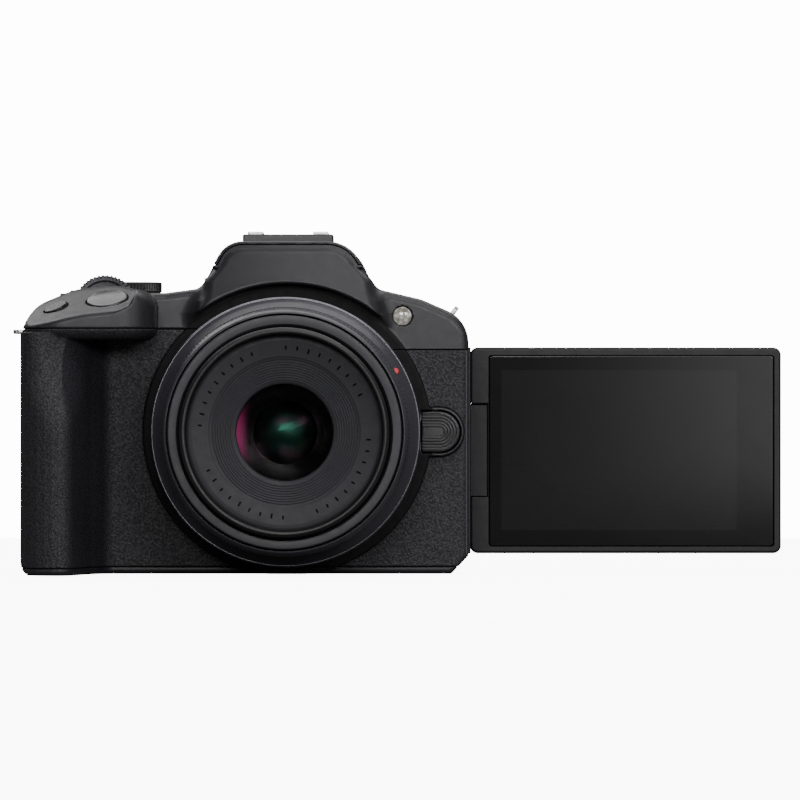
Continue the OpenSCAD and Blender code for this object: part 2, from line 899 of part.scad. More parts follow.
module hot_shoe() {
    color([0.1, 0.1, 0.1]) difference() {
        box([-11.6, -0.6, hump_h - 0.6], [11.6, 18, shoe_top - 0.7]);
        box([-10.35, 0.6, hump_h - 1], [10.35, 30, 90]);
    }
    color([0.75, 0.75, 0.76]) difference() {
        box([-10.3, 0.7, hump_h - 0.6], [10.3, 18, shoe_top]);
        box([-9.4, 1.5, hump_h], [9.4, 30, shoe_top - 0.7]);
        box([-6.4, 1.5, shoe_top - 1], [6.4, 30, 90]);
        box([-6.4, 0, hump_h], [6.4, 5, 90]);
    }
}

// ---------- Screen ----------
module at_ears() {
    for (side = [-1, 1]) translate([hinge_x, panel_y, tilt_z + side * (barrel_h / 2 + 0.55)]) children();
}

module hinge_bracket() {
    color([0.4, 0.4, 0.42]) {
        at_ears() cylinder(r = barrel_r, h = 0.9, center = true);
        at_ears() box([-2.2, recess_y - 4 - panel_y, -0.45], [-0.2, 0, 0.45]);
        translate([hinge_x, panel_y, tilt_z - barrel_h / 2 - 1]) cylinder(r = 1, h = barrel_h + 2);
    }
}

module hinge_block() {
    color([0.13, 0.13, 0.14]) {
        difference() {
            union() {
                translate([hinge_x, panel_y, tilt_z - barrel_h / 2]) cylinder(r = barrel_r, h = barrel_h);
                box([hinge_x, panel_y - barrel_r, tilt_z - block_h / 2],
                    [panel_x + notch_w - 0.35, panel_y + barrel_r, tilt_z + block_h / 2]);
            }
            translate([hinge_x, panel_y, 0]) cylinder(r = 1.05, h = 80);
            at_ears() box([-1, -3, -0.55], [arm_x, 3, 2]);
            at_ears() box([-1, -3, -2], [arm_x, 3, 0.55]);
        }
        // Tilt axle, which turns in the panel's frame.
        tilt_axle(1.4, panel_x + notch_w - 1, panel_x + notch_w + 4.5);
    }
}

module tilt_axle(r, x0, x1) {
    translate([x0, panel_y, tilt_z]) rotate([0, 90, 0]) cylinder(r = r, h = x1 - x0);
}

module panel_outline(inset) {
    polygon(rounded([
        [panel_x + inset, panel_z + inset, 2], [panel_x + panel_w - inset, panel_z + inset, 2],
        [panel_x + panel_w - inset, panel_z + panel_h - inset, 2],
        [panel_x + inset, panel_z + panel_h - inset, 2]
    ]));
}

glass_low = [panel_x + 4.9, panel_z + 1.8];
glass_high = [panel_x + panel_w - 1.9, panel_z + panel_h - 2.1];

module hinge_notch() {
    box([0, 0, tilt_z - notch_h / 2], [panel_x + notch_w, 40, tilt_z + notch_h / 2]);
}

module screen_frame() {
    color([0.1, 0.1, 0.105]) difference() {
        slab(panel_y - panel_t / 2, panel_y + 1) panel_outline(0);
        hinge_notch();
        slab(0, 40) translate([panel_x + notch_w + 1.6, panel_z + 2.6])
            square([panel_w - notch_w - 4.4, panel_h - 5.2]);
        slab(0, panel_y - panel_t / 2 + 1) translate(glass_low) square(glass_high - glass_low);
        tilt_axle(1.45, panel_x, panel_x + notch_w + 2);
    }
}

module screen_back() {
    color([0.1, 0.1, 0.105]) difference() {
        union() {
            slab(panel_y + 1, panel_y + panel_t / 2) panel_outline(0);
        }
        hinge_notch();
        box([panel_x + notch_w + 1.6, 0, panel_z + 2.6],
            [panel_x + panel_w - 2.8, panel_y + panel_t / 2 - 1.2, panel_z + panel_h - 2.6]);
        tilt_axle(1.45, panel_x, panel_x + notch_w + 2);
    }
}

module lcd_module() {
    color([0.3, 0.3, 0.32]) box([panel_x + notch_w + 6, panel_y - panel_t / 2 + 1.05, panel_z + 3],
        [panel_x + panel_w - 3.2, panel_y + 1.2, panel_z + panel_h - 3]);
}

module screen_glass() {
    color([0.03, 0.03, 0.035]) slab(panel_y - panel_t / 2 + 0.05, panel_y - panel_t / 2 + 0.95)
        polygon(rounded([
            [glass_low.x + 0.1, glass_low.y + 0.1, 0.8], [glass_high.x - 0.1, glass_low.y + 0.1, 0.8],
            [glass_high.x - 0.1, glass_high.y - 0.1, 0.8], [glass_low.x + 0.1, glass_high.y - 0.1, 0.8]
        ]));
}

// ---------- Lens ----------
module lens_mount() {
    color([0.8, 0.8, 0.82]) {
        difference() {
            ring(21, throat_r + 4, flange_f, flange_f + 1.5);
            lock_pin(1.06, flange_f + 1);
        }
        ring(21, 24.6, 14.6, flange_f);
        for (a = [30, 150, 270]) intersection() {
            ring(24.5, throat_r - 0.2, 16, 18.5);
            wedge(a - 20, a + 20);
        }
    }
}

zoom_f = [30, 44.6];
control_f = [44.9, 56.6];
front_f = 59.4;
tip_f = 64.3;

module lens_barrel() {
    color([0.13, 0.13, 0.135]) turned() polygon([
        [21, flange_f + 1.5], [zoom_r - 1.2, flange_f + 1.5], [zoom_r - 0.6, flange_f + 3],
        [zoom_r - 0.4, zoom_f[0] - 0.3], [27.45, zoom_f[0] - 0.3], [27.45, control_f[1] + 1.2],
        [28.7, control_f[1] + 1.2], [28.7, front_f - 0.4], [28.3, front_f], [inner_r + 0.1, front_f],
        [inner_r + 0.1, flange_f + 3.5], [21, flange_f + 3.5]
    ]);
}

module zoom_ring() {
    color([0.1, 0.1, 0.105]) turned() polygon([
        [27.5, zoom_f[0]], [zoom_r - 0.3, zoom_f[0]], [zoom_r, zoom_f[0] + 0.3], [zoom_r, 41.6],
        [control_r + 0.3, zoom_f[1]], [27.5, zoom_f[1]]
    ]);
}

module control_ring() {
    color([0.14, 0.14, 0.145]) turned() polygon([
        [27.5, control_f[0]], [control_r, control_f[0]], [control_r, 54.9], [29, control_f[1] + 0.9],
        [27.5, control_f[1] + 0.9]
    ]);
}

module inner_barrel() {
    color([0.12, 0.12, 0.125]) turned() polygon([
        [inner_r - 1, 36], [inner_r, 36], [inner_r, tip_f - 0.7], [inner_r - 0.7, tip_f],
        [filter_r, tip_f], [filter_r, tip_f - 3.4], [inner_r - 1, tip_f - 3.4]
    ]);
}

module name_ring() {
    color([0.13, 0.13, 0.135]) turned() polygon([
        [inner_r - 1.05, tip_f - 3.8], [inner_r - 1.05, tip_f - 5.4], [13.6, tip_f - 9.2],
        [13.6, 50], [12.1, 50], [12.1, tip_f - 7.2], [18.2, tip_f - 4.8], [22.4, tip_f - 3.8]
    ]);
}

module front_element() {
    color([0.5, 0.6, 0.65]) turned() intersection() {
        translate([0, 50.4]) square([12, 8]);
        translate([0, 32.2]) circle(r = 24);
    }
}

module guide_rod(a, r) {
    translate([14 * cos(a), -21.5, axis_h + 14 * sin(a)]) rotate([90, 0, 0]) cylinder(r = r, h = 17.5);
}

module focus_group() {
    color([0.3, 0.3, 0.32]) difference() {
        union() {
            ring(9.4, 12, 29, 33);
            for (a = [60, 240]) intersection() {
                ring(11.5, 15.6, 29, 33);
                wedge(a - 10, a + 10);
            }
        }
        for (a = [60, 240]) guide_rod(a, 0.85);
    }
    color([0.5, 0.6, 0.65]) ring(0, 9.4, 29.8, 32.2);
}

module rear_element() {
    color([0.3, 0.3, 0.32]) {
        ring(10.9, 20.95, 21.5, 23.3);
        for (a = [60, 240]) guide_rod(a, 0.8);
    }
    color([0.5, 0.6, 0.65]) ring(0, 10.9, 20.4, 24.6);
}

module iris_unit() {
    color([0.15, 0.15, 0.15]) {
        ring(7, inner_r - 1.05, 40.2, 41.2);
        for (i = [0:6]) intersection() {
            ring(4.4, 7.6, 41.2, 41.5);
            wedge(i * 360 / 7, i * 360 / 7 + 45);
        }
    }
}

front_cover();
top_cover();
rear_cover();
bottom_cover();
grip_skin();
front_skin();
chassis();
tripod_socket();
mount_flange();
release_button();
lamp_lens();
image_sensor();
shutter_frame();
shutter_curtain();
main_board();
battery();
battery_door();
battery_latch();
memory_card();
viewfinder_optics();
eyecup();
diopter_knob();
hot_shoe();
shutter_button();
multi_button();
main_dial();
mode_dial();
power_lever();
movie_button();
iso_button();
menu_button();
info_button();
play_button();
lock_button();
focus_point_button();
direction_pad();
set_button();
strap_lugs();
port_cover_upper();
port_cover_lower();
port_sockets();
flash_cover();
flash_window();
hinge_bracket();
hinge_block();
screen_frame();
screen_back();
lcd_module();
screen_glass();
screws();
lens_mount();
lens_barrel();
zoom_ring();
control_ring();
inner_barrel();
name_ring();
front_element();
focus_group();
rear_element();
iris_unit();
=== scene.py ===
"""Looks of the interchangeable-lens camera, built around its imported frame.

Lengths are in millimetres, in the part's own axes, until a mesh is made. The moulded covers come from one
signed-distance form of the body, negative inside, which each cover cuts along its own seams.
"""

import functools
import math

import bmesh
import bpy
import numpy as np
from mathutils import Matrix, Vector


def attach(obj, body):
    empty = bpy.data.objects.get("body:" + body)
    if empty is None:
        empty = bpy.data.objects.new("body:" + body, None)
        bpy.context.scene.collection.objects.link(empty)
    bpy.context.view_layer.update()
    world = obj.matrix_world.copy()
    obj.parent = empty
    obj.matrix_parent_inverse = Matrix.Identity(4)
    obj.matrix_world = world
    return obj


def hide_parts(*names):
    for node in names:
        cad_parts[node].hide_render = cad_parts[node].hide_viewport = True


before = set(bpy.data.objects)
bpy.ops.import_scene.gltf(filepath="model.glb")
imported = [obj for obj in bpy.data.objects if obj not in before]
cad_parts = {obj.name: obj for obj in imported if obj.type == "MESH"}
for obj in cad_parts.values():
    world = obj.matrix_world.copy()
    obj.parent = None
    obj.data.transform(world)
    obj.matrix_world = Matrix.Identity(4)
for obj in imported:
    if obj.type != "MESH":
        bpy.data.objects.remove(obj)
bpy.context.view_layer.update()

MM = 0.001
COARSE = 1
SEAM = 0.06                     # half the gap between two covers

# ---------- Places that the parts share ----------
AXIS = 36.0                     # height of the optical axis
FRONT, BACK = -17.0, 18.0
SPLIT = 5.0                     # front and back covers meet here
SEAM_GRIP, SEAM_HINGE, SEAM_BACK = 62.0, 56.8, 59.5
WALL = 1.8
SKIN = 1.0
THROAT_R = 31.6                 # opening of the covers around the lens
SHELF_LOW = 59.2
DECK = 71.2
HUMP_TOP = 84.3
COLLAR_R, COLLAR_Y = 36.3, -19.6
BROW_R = 37.4
SHUTTER_AT, SHUTTER_N = (-45.1, -29, 69.4), (-0.13, -0.42, 0.9)
MULTI_AT, MULTI_N = (-58.2, -28, 67.7), (-0.38, -0.3, 0.87)
DIAL_AT, DIAL_N = (-46.2, -14.5, 68.4), (0, -0.906, 0.423)
MODE_AT = (-40.5, 4)
POWER_AT = (-52.5, 9.5)
MOVIE_AT = (-51, -4)
ISO_AT = (-56, 0.8)
MENU_AT, INFO_AT, PLAY_AT = (-40.5, 53), (-40.5, 43.5), (-58, 11.5)
LOCK_AT, POINT_AT = (-50, 64.5), (-60, 64)
PAD_AT = (-51, 27)
KNOB_AT = (20, 72)
LAMP_AT = (29.2, 65.3)
RELEASE_AT, RELEASE_R = (38.6, AXIS), 5.2
LUG_AT, LUG_N, LUG_SIDE = (41.6, 3, 65.6), (0.6, 0, 0.8), (0.8, 0, -0.6)
PORT_LOWS, PORT_TALL = (9, 31), 20
FLASH_PIVOT = (-3.6, 80.5)
PANEL_LOW, PANEL_HIGH = (46.6, 12.4, 4.6), (126.6, 18.0, 57.6)
PANEL_SPLIT = 16.2
HINGE_AT = (46.3, 15.2, 31.1)
FORWARD = (0, -1, 0)
UP = (0, 0, 1)
BACKWARD = (0, 1, 0)


# ---------- Outlines ----------
def arc(before, at, after, radius, steps=8):
    """The points that round the corner at with a radius."""
    if radius == 0:
        return [tuple(at)]
    b = np.array(at, float)
    u = np.array(before, float) - b
    v = np.array(after, float) - b
    u, v = u / np.linalg.norm(u), v / np.linalg.norm(v)
    half = math.acos(np.clip(u @ v, -1, 1)) / 2
    if half > math.pi / 2 - 1e-3:
        return [tuple(at)]
    middle = b + (u + v) / np.linalg.norm(u + v) * radius / math.sin(half)
    start = b + u * radius / math.tan(half) - middle
    end = b + v * radius / math.tan(half) - middle
    turn = math.atan2(start[0] * end[1] - start[1] * end[0], start @ end)
    points = []
    for i in range(steps + 1):
        c, s = math.cos(turn * i / steps), math.sin(turn * i / steps)
        points.append(tuple(middle + np.array([c * start[0] - s * start[1], s * start[0] + c * start[1]])))
    return points


def rounded(rows, closed=True, steps=8):
    """A line through [a, b] or [a, b, corner radius] rows."""
    rows = [tuple(r) + (0,) * (3 - len(r)) for r in rows]
    points = []
    for i, (a, b, radius) in enumerate(rows):
        if not closed and i in (0, len(rows) - 1):
            points.append((a, b))
            continue
        points += arc(rows[i - 1][:2], (a, b), rows[(i + 1) % len(rows)][:2], radius, steps)
    return points


class Outline:
    """Signed distance to a closed outline, looked up in a fine table."""

    STEP = 0.25
    MARGIN = 14

    def __init__(self, rows, steps=8):
        points = np.array(rounded(rows, steps=steps))
        self.low = points.min(0) - self.MARGIN
        count = ((points.max(0) + self.MARGIN - self.low) / self.STEP).astype(int) + 2
        u = self.low[0] + self.STEP * np.arange(count[0])[:, None]
        v = self.low[1] + self.STEP * np.arange(count[1])[None, :]
        nearest = np.full(tuple(count), 1e9)
        inside = np.zeros(tuple(count), bool)
        for p, q in zip(points, np.roll(points, -1, 0)):
            d = q - p
            if d @ d < 1e-12:
                continue
            t = np.clip(((u - p[0]) * d[0] + (v - p[1]) * d[1]) / (d @ d), 0, 1)
            nearest = np.minimum(nearest, (u - p[0] - t * d[0]) ** 2 + (v - p[1] - t * d[1]) ** 2)
            if p[1] != q[1]:
                across = (p[1] > v) != (q[1] > v)
                inside ^= across & (u < d[0] * (v - p[1]) / d[1] + p[0])
        self.table = (np.sqrt(nearest) * np.where(inside, -1, 1)).astype(np.float32)

    def __call__(self, a, b):
        fa = np.clip((a - self.low[0]) / self.STEP, 0, self.table.shape[0] - 1.001)
        fb = np.clip((b - self.low[1]) / self.STEP, 0, self.table.shape[1] - 1.001)
        i, j = fa.astype(np.int32), fb.astype(np.int32)
        s, t = (fa - i).astype(np.float32), (fb - j).astype(np.float32)
        table = self.table
        low = table[i, j] * (1 - s) + table[i + 1, j] * s
        high = table[i, j + 1] * (1 - s) + table[i + 1, j + 1] * s
        return low * (1 - t) + high * t


# ---------- Signed distances ----------
def every(*shapes):
    """Where all are."""
    return functools.reduce(np.maximum, shapes)


def some(*shapes):
    """Where any is."""
    return functools.reduce(np.minimum, shapes)


def both(a, b, r=0.0):
    """Where both are, with the edge between them rounded to r."""
    if np.ndim(r) == 0 and r == 0:
        return np.maximum(a, b)
    corner = np.sqrt(np.maximum(a + r, 0) ** 2 + np.maximum(b + r, 0) ** 2)
    return np.minimum(-r, np.maximum(a, b)) + corner


def either(a, b, r=0.0):
    """Where one is, with the inner corner between them filled to r."""
    return -both(-a, -b, r)


def less(a, b, r=0.0):
    """The first without the second."""
    return both(a, -b, r)


def cut(form, cuts, r):
    return functools.reduce(lambda a, b: less(a, b, r), cuts, form)


def crown(a, b, k):
    """Where both are, with a broad soft ridge between two faces that nearly line up."""
    h = np.maximum(k - np.abs(a - b), 0) / k
    return np.maximum(a, b) + h * h * k / 4


def slab(value, low, high):
    return np.maximum(low - value, value - high)


def circle(u, v, at, radius):
    return np.hypot(u - at[0], v - at[1]) - radius


def block(x, y, z, low, high, r=0.0):
    """A box, with its edges rounded to r."""
    q = [np.abs(c - (a + b) / 2) - (b - a) / 2 + r for c, a, b in zip((x, y, z), low, high)]
    outside = np.sqrt(sum(np.maximum(c, 0) ** 2 for c in q))
    return outside + np.minimum(np.maximum(np.maximum(q[0], q[1]), q[2]), 0) - r


def plane(x, y, z, at, n):
    size = math.sqrt(sum(c * c for c in n))
    return ((x - at[0]) * n[0] + (y - at[1]) * n[1] + (z - at[2]) * n[2]) / size


def rod(x, y, z, at, n, radius):
    """An endless round rod through a point."""
    size = math.sqrt(sum(c * c for c in n))
    n = [c / size for c in n]
    d = (x - at[0], y - at[1], z - at[2])
    along = d[0] * n[0] + d[1] * n[1] + d[2] * n[2]
    return np.sqrt(np.maximum(d[0] ** 2 + d[1] ** 2 + d[2] ** 2 - along ** 2, 1e-9)) - radius


def capsule(x, y, z, a, b, radius):
    """A rod with round ends from a to b."""
    a, b = np.array(a, float), np.array(b, float)
    d = b - a
    t = np.clip(((x - a[0]) * d[0] + (y - a[1]) * d[1] + (z - a[2]) * d[2]) / (d @ d), 0, 1)
    return np.sqrt((x - a[0] - t * d[0]) ** 2 + (y - a[1] - t * d[1]) ** 2
                   + (z - a[2] - t * d[2]) ** 2) - radius


def optical(x, z):
    """Distance from the optical axis."""
    return np.sqrt(x ** 2 + (z - AXIS) ** 2 + 1e-9)


# ---------- The outer form of the body ----------
BODY_OUTLINE = Outline([
    (-67.2, 0, 3.5), (41.6, 0, 1), (46, 4.6, 1), (46, 64.4, 9), (34, 69.6, 10), (22.5, 72.3, 4),
    (15.6, HUMP_TOP, 9.5), (-15.6, HUMP_TOP, 7), (-21.6, 72.4, 4), (-31, DECK, 3), (-55, DECK, 9),
    (-62.6, 67.9, 8), (-67.2, 62.9, 5),
])
SHELF_OUTLINE = Outline([
    (-67.2, 40, 0), (-67.2, 63.2, 5), (-62.6, 68.3, 8), (-54, 72.0, 15), (-43.5, 73.3, 14),
    (-33.6, 71.0, 5), (-28, 70.6, 0), (-28, 40, 0),
])
HUMP_OUTLINE = Outline([
    (-30, 50, 0), (-24.5, 62, 6), (-20.9, 71, 8), (-20.7, 74.2, 2), (-15.6, HUMP_TOP, 7),
    (15.6, HUMP_TOP, 9.5), (21.4, 74.2, 2), (21.9, 71, 8), (25, 62, 6), (30, 50, 0),
])
LOWER_PLAN = Outline([
    (46, 18, 1.5), (46, -17, 2.5), (-45.5, -17, 4), (-52.5, -41, 7), (-68.2, -41, 10), (-68.2, 18, 5),
])
GRIP_PLAN = Outline([
    (46, 18, 1.5), (46, -17, 2.2), (-45.6, -17, 3.5), (-49.4, -24.5, 3), (-54, -41.2, 4),
    (-67.2, -41, 11), (-67.2, 18, 5),
])
SHELF_PLAN = Outline([
    (-67.2, 18, 5), (-67.2, -38.5, 11), (-33.2, -38.5, 8.5), (-32.6, -10, 0), (-32.6, 18, 0),
], 28)
SCOOP_OUTLINE = Outline([
    (-90, 50, 0), (-45.5, 50, 0), (-42.6, 65.6, 2), (-39.2, 68.0, 3), (-37.7, 71, 3), (-38.6, 90, 0),
    (-90, 90, 0),
])
FINDER_OUTLINE = Outline([(-20.5, 59.9, 4), (20.5, 59.9, 4), (18.5, 80.9, 5), (-18.5, 80.9, 5)])


def shelf_top(x, y, z):
    """The crowned slope that the two buttons sit in."""
    return crown(plane(x, y, z, SHUTTER_AT, (-0.1, -0.34, 0.935)), plane(x, y, z, MULTI_AT, MULTI_N), 2.5)


def hump_face(x, y, z):
    """Negative behind the hump's leaning, crowned face, which flares out over the lens."""
    lean = -24 + 0.387 * (z - 68) + 0.004 * x ** 2
    fade = np.clip((z - 55) / 14, 0, 1)
    flare = FRONT + 0.5 - 7.6 * fade * fade * (3 - 2 * fade)
    return 0.93 * (every(lean, flare) - y)


def main_form(x, y, z):
    form = both(BODY_OUTLINE(x, z), slab(y, FRONT, BACK), 2.2)
    grip = both(GRIP_PLAN(x, y), BODY_OUTLINE(x, z), 1.2)
    grip = both(grip, plane(x, y, z, (0, -38.4, 62), (0, -1, 0.16)), 2.0)
    hollow = capsule(x, y, z, (-66, -56, 52), (-34, -39.5, 55), 11.5)
    grip = every(less(grip, hollow, 7), z - 61)
    form = some(form, grip)
    shelf = both(SHELF_PLAN(x, y), SHELF_OUTLINE(x, z), 3.6)
    shelf = both(shelf, SHELF_LOW - z, 3.4)
    scoop = both(SCOOP_OUTLINE(x, z), -shelf_top(x, y, z), 1.2)
    shelf = less(shelf, scoop, 0.8)
    shelf = every(shelf, z - 72.9, y + 8)
    return either(form, shelf, 0.3)


def hump_form(x, y, z):
    """The hump's face, whose lower lip follows the lens."""
    face = both(HUMP_OUTLINE(x, z) + 0.95 * np.clip((z - 75) / 3, 0, 1), hump_face(x, y, z), 2.3)
    face = both(face, slab(y, -40, 0))
    return both(face, BROW_R - optical(x, z), 1.0)


def lid_form(x, y, z):
    """The flash cover's shape, which frames the hump's face."""
    lid = both(HUMP_OUTLINE(x, z), hump_face(x, y, z) + 0.5, 0.7)
    return both(lid, slab(y, -30, BACK), 2.0)


def body_form(x, y, z):
    form = main_form(x, y, z)
    soft = 0.3 + 3.9 * np.clip((75 - z) / 6, 0, 1) * np.clip((z - 59) / 7, 0, 1)
    form = either(form, hump_form(x, y, z), soft)
    form = some(form, every(lid_form(x, y, z), 77.5 - z))
    form = either(form, both(FINDER_OUTLINE(x, z), slab(y, 10, 24), 1.6), 2.2)
    rest = capsule(x, y, z, (-62, 15.5, 49.5), (-50, 15.5, 55.5), 6.0)
    form = either(form, rest, 5)
    rho = optical(x, z)
    collar = both(every(rho - COLLAR_R, THROAT_R - rho), slab(y, COLLAR_Y, 0), 0.7)
    form = either(form, collar, 0.8)
    bay = block(x, y, z, (-34.9, 12.1, 3.9), (80, 60, 58.4), 0.5)
    return less(every(form, -z), bay, 0.5)


def opened(x, y, z, form, wall):
    """The room inside the walls, carried straight down through the underside."""
    floor = body_form(x, y, 6 + 0 * z[..., :1])
    return np.where(z < 6, floor, form) + wall


def lower_front(x, y, z):
    top = np.where(x < 0, SEAM_GRIP, SEAM_HINGE)
    return every(y - SPLIT, z - top, WALL - z)


def lower_back(x, y, z):
    return every(SPLIT - y, z - SEAM_BACK, WALL - z)


def upper(x, y, z):
    grip_end = some(SEAM_GRIP - z, every(SEAM_BACK - z, SPLIT - y))
    hinge_end = some(SEAM_BACK - z, every(SEAM_HINGE - z, y - SPLIT))
    return np.where(x < 0, grip_end, hinge_end)


def release_end(x, z):
    """Distance outside the release button's outline, whose outer end is round."""
    return np.where(x < RELEASE_AT[0], np.abs(z - AXIS), circle(x, z, RELEASE_AT, 0)) - RELEASE_R


def release_shape(x, z):
    return every(34 - x, release_end(x, z))


def boss_shape(x, z):
    radius = RELEASE_R + 1
    square = every(slab(x, 30, RELEASE_AT[0]), slab(z, AXIS - radius, AXIS + radius))
    return some(square, circle(x, z, RELEASE_AT, radius))


def grip_zone(x, y, z):
    zone = both(every(x + 0.5, y - 9), slab(z, WALL, SEAM_GRIP), 0.3)
    return every(zone, COLLAR_R + 0.05 - optical(x, z))


def hinge_zone(x, y, z):
    zone = both(slab(x, 0.5, 45.5), slab(z, WALL, SEAM_HINGE), 0.3)
    zone = every(zone, y + 16, COLLAR_R + 0.05 - optical(x, z))
    return every(zone, -boss_shape(x, z))


def strap_slot(x, y, z):
    return block(x, y, z, (-75, -2.2, 60.7), (-60, 8.2, 62.2))


def dial_well(x, y, z):
    turn = rod(x, y, z, DIAL_AT, DIAL_N, 7.8)
    return every(turn, slab(plane(x, y, z, DIAL_AT, DIAL_N), -1.8, 1.8))


def ports(x, y, z):
    """The openings under the two port covers."""
    tall = some(*(slab(z, low - 0.15, low + PORT_TALL + 0.15) for low in PORT_LOWS))
    return every(slab(y, -13.6, -0.85), tall, 41 - x)


def lid_depth(x, y, z):
    """Thickness of the flash cover, which is thin where it frames the hump's face."""
    return 0.75 + np.clip((-hump_face(x, y, z) - 2.4) * 0.5, 0, 0.8)


def lid_knuckle(y, z, radius):
    return circle(y, z, FLASH_PIVOT, radius)


def front_cover(x, y, z):
    form = body_form(x, y, z)
    cover = every(form, -opened(x, y, z, form, WALL + SKIN))
    skins = some(grip_zone(x, y, z), hinge_zone(x, y, z))
    cover = less(cover, every(skins, -SKIN - form))
    cover = both(cover, lower_front(x, y, z) + SEAM, 0.2)
    lip = every(np.abs(form + WALL + 0.55) - 0.4, np.abs(z - SEAM_GRIP) - 0.9)
    cover = some(cover, every(lip, x + 34, y - SPLIT + 1.5))
    cover = some(cover, both(boss_shape(x, z), slab(y, -19, -15.5), 0.5))
    cover = less(cover, optical(x, z) - THROAT_R, 0.3)
    cover = less(cover, release_shape(x, z) - 0.3, 0.15)
    cover = less(cover, some(ports(x, y, z), strap_slot(x, y, z)), 0.2)
    return less(cover, dial_well(x, y, z))


def flash_pocket(x, y, z):
    """The room for the flash cover, its pivot and the clips behind it."""
    under = every(78.15 - z, y + 3.4, -HUMP_OUTLINE(x, z) - lid_depth(x, y, z) - 0.2)
    behind = every(slab(y, -4, -0.5), 80.5 - z)
    return some(under, every(some(lid_knuckle(y, z, 4.1), behind), np.abs(x) - 18.7))


def top_cover(x, y, z):
    form = body_form(x, y, z)
    cover = both(every(form, -form - WALL), upper(x, y, z) + SEAM, 0.2)
    well = every(rod(x, y, z, DIAL_AT, DIAL_N, 9), slab(plane(x, y, z, DIAL_AT, DIAL_N), -3, 3), 62.1 - z)
    deck = every(slab(z, 74.6, 75.8), y - 1.6)
    wall = every(slab(y, 0.9, 1.9), 74.6 - z)
    plate = every(FINDER_OUTLINE(x, z) + 0.6, slab(y, 19.5, 22.5))
    cover = some(cover, every(some(well, deck, wall), form + 0.5), plate)
    cover = less(cover, optical(x, z) - THROAT_R, 0.3)
    cover = less(cover, flash_pocket(x, y, z), 0.15)
    cuts = [
        block(x, y, z, (-11.75, -0.8, 83.6), (11.75, 40, 95)),
        rod(x, y, z, SHUTTER_AT, SHUTTER_N, 5.45),
        rod(x, y, z, MULTI_AT, MULTI_N, 3.25),
        dial_well(x, y, z),
    ]
    for at, r in ((MODE_AT, 3.3), (POWER_AT, 2.3), (MOVIE_AT, 2.7), (ISO_AT, 2.5)):
        cuts.append(every(circle(x, y, at, r), 66 - z))
    cuts += [every(circle(x, z, at, 2.9), 8 - y) for at in (LOCK_AT, POINT_AT)]
    across, along = plane(x, y, z, LUG_AT, LUG_SIDE), plane(x, y, z, LUG_AT, LUG_N)
    cuts += [
        block(x, y, z, (-17, 3, 61.7), (17, 19.5, 79.3)),
        block(x, y, z, (-16.9, 21.8, 61.8), (16.9, 40, 79.2), 0.3),
        block(x, y, z, (-13.05, 10, 63.45), (13.05, 30, 77.55), 3),
        every(circle(y, z, KNOB_AT, 4), slab(x, -25, -19.3)),
        every(circle(x, z, LAMP_AT, 2.5), y + 8),
        strap_slot(x, y, z),
        every(np.abs(across) - 0.8, -4 - along, np.abs(y - LUG_AT[1]) - 4.2),
    ]
    pillar = block(np.abs(x), y, z, (11.9, -5.4, 75.2), (13.5, -2.3, 81.9), 0.2)
    return some(cut(cover, cuts, 0.12), pillar)


def rear_cover(x, y, z):
    form = body_form(x, y, z)
    cover = every(form, -opened(x, y, z, form, WALL))
    cover = less(cover, every(grip_zone(x, y, z), -SKIN - form))
    cover = both(cover, lower_back(x, y, z) + SEAM, 0.2)
    cuts = []
    for at, r in ((PAD_AT, 9.55), (MENU_AT, 3.0), (INFO_AT, 3.0), (PLAY_AT, 3.0)):
        cuts.append(every(circle(x, z, at, r), 9 - y))
    cuts.append(strap_slot(x, y, z))
    for ear in (HINGE_AT[2] - 10.95, HINGE_AT[2] + 10.95):
        cuts.append(block(x, y, z, (44, 8, ear - 0.55), (50, HINGE_AT[1], ear + 0.55)))
    strip = block(x, y, z, (45.4, 10.3, 4.6), (46.75, 11.8, 57.6), 0.2)
    return some(cut(cover, cuts, 0.15), strip)


def bottom_cover(x, y, z):
    form = both(body_form(x, y, z), z - WALL + SEAM, 0.15)
    door = every(LOWER_PLAN(x, y) + 2.4, slab(x, -65.2, -44.6), slab(y, -36.2, 11.6))
    cuts = [door, block(x, y, z, (-62.5, 10.6, -1), (-47.5, 14.4, 5)), circle(x, y, (0, 0), 5.6)]
    cuts += [circle(x, y, (across, along), 1.6) for across in (-30, 35) for along in (-10, 8.4)]
    rails = slab(np.mod(y, 3.0), 1.2, 1.8)
    tread = every(slab(x, -26, 30), slab(y, -13.2, 14.2), rails, z - 0.25, -circle(x, y, (0, 0), 9))
    return less(cut(form, cuts, 0.12), tread, 0.1)


def skin(x, y, z, zone):
    """The outermost layer of the body inside a zone."""
    form = body_form(x, y, z)
    return both(every(form, -form - SKIN + 0.02), zone(x, y, z) + 0.08, 0.3)


def grip_skin(x, y, z):
    return less(skin(x, y, z, grip_zone), some(strap_slot(x, y, z), dial_well(x, y, z)))


def front_skin(x, y, z):
    return skin(x, y, z, hinge_zone)


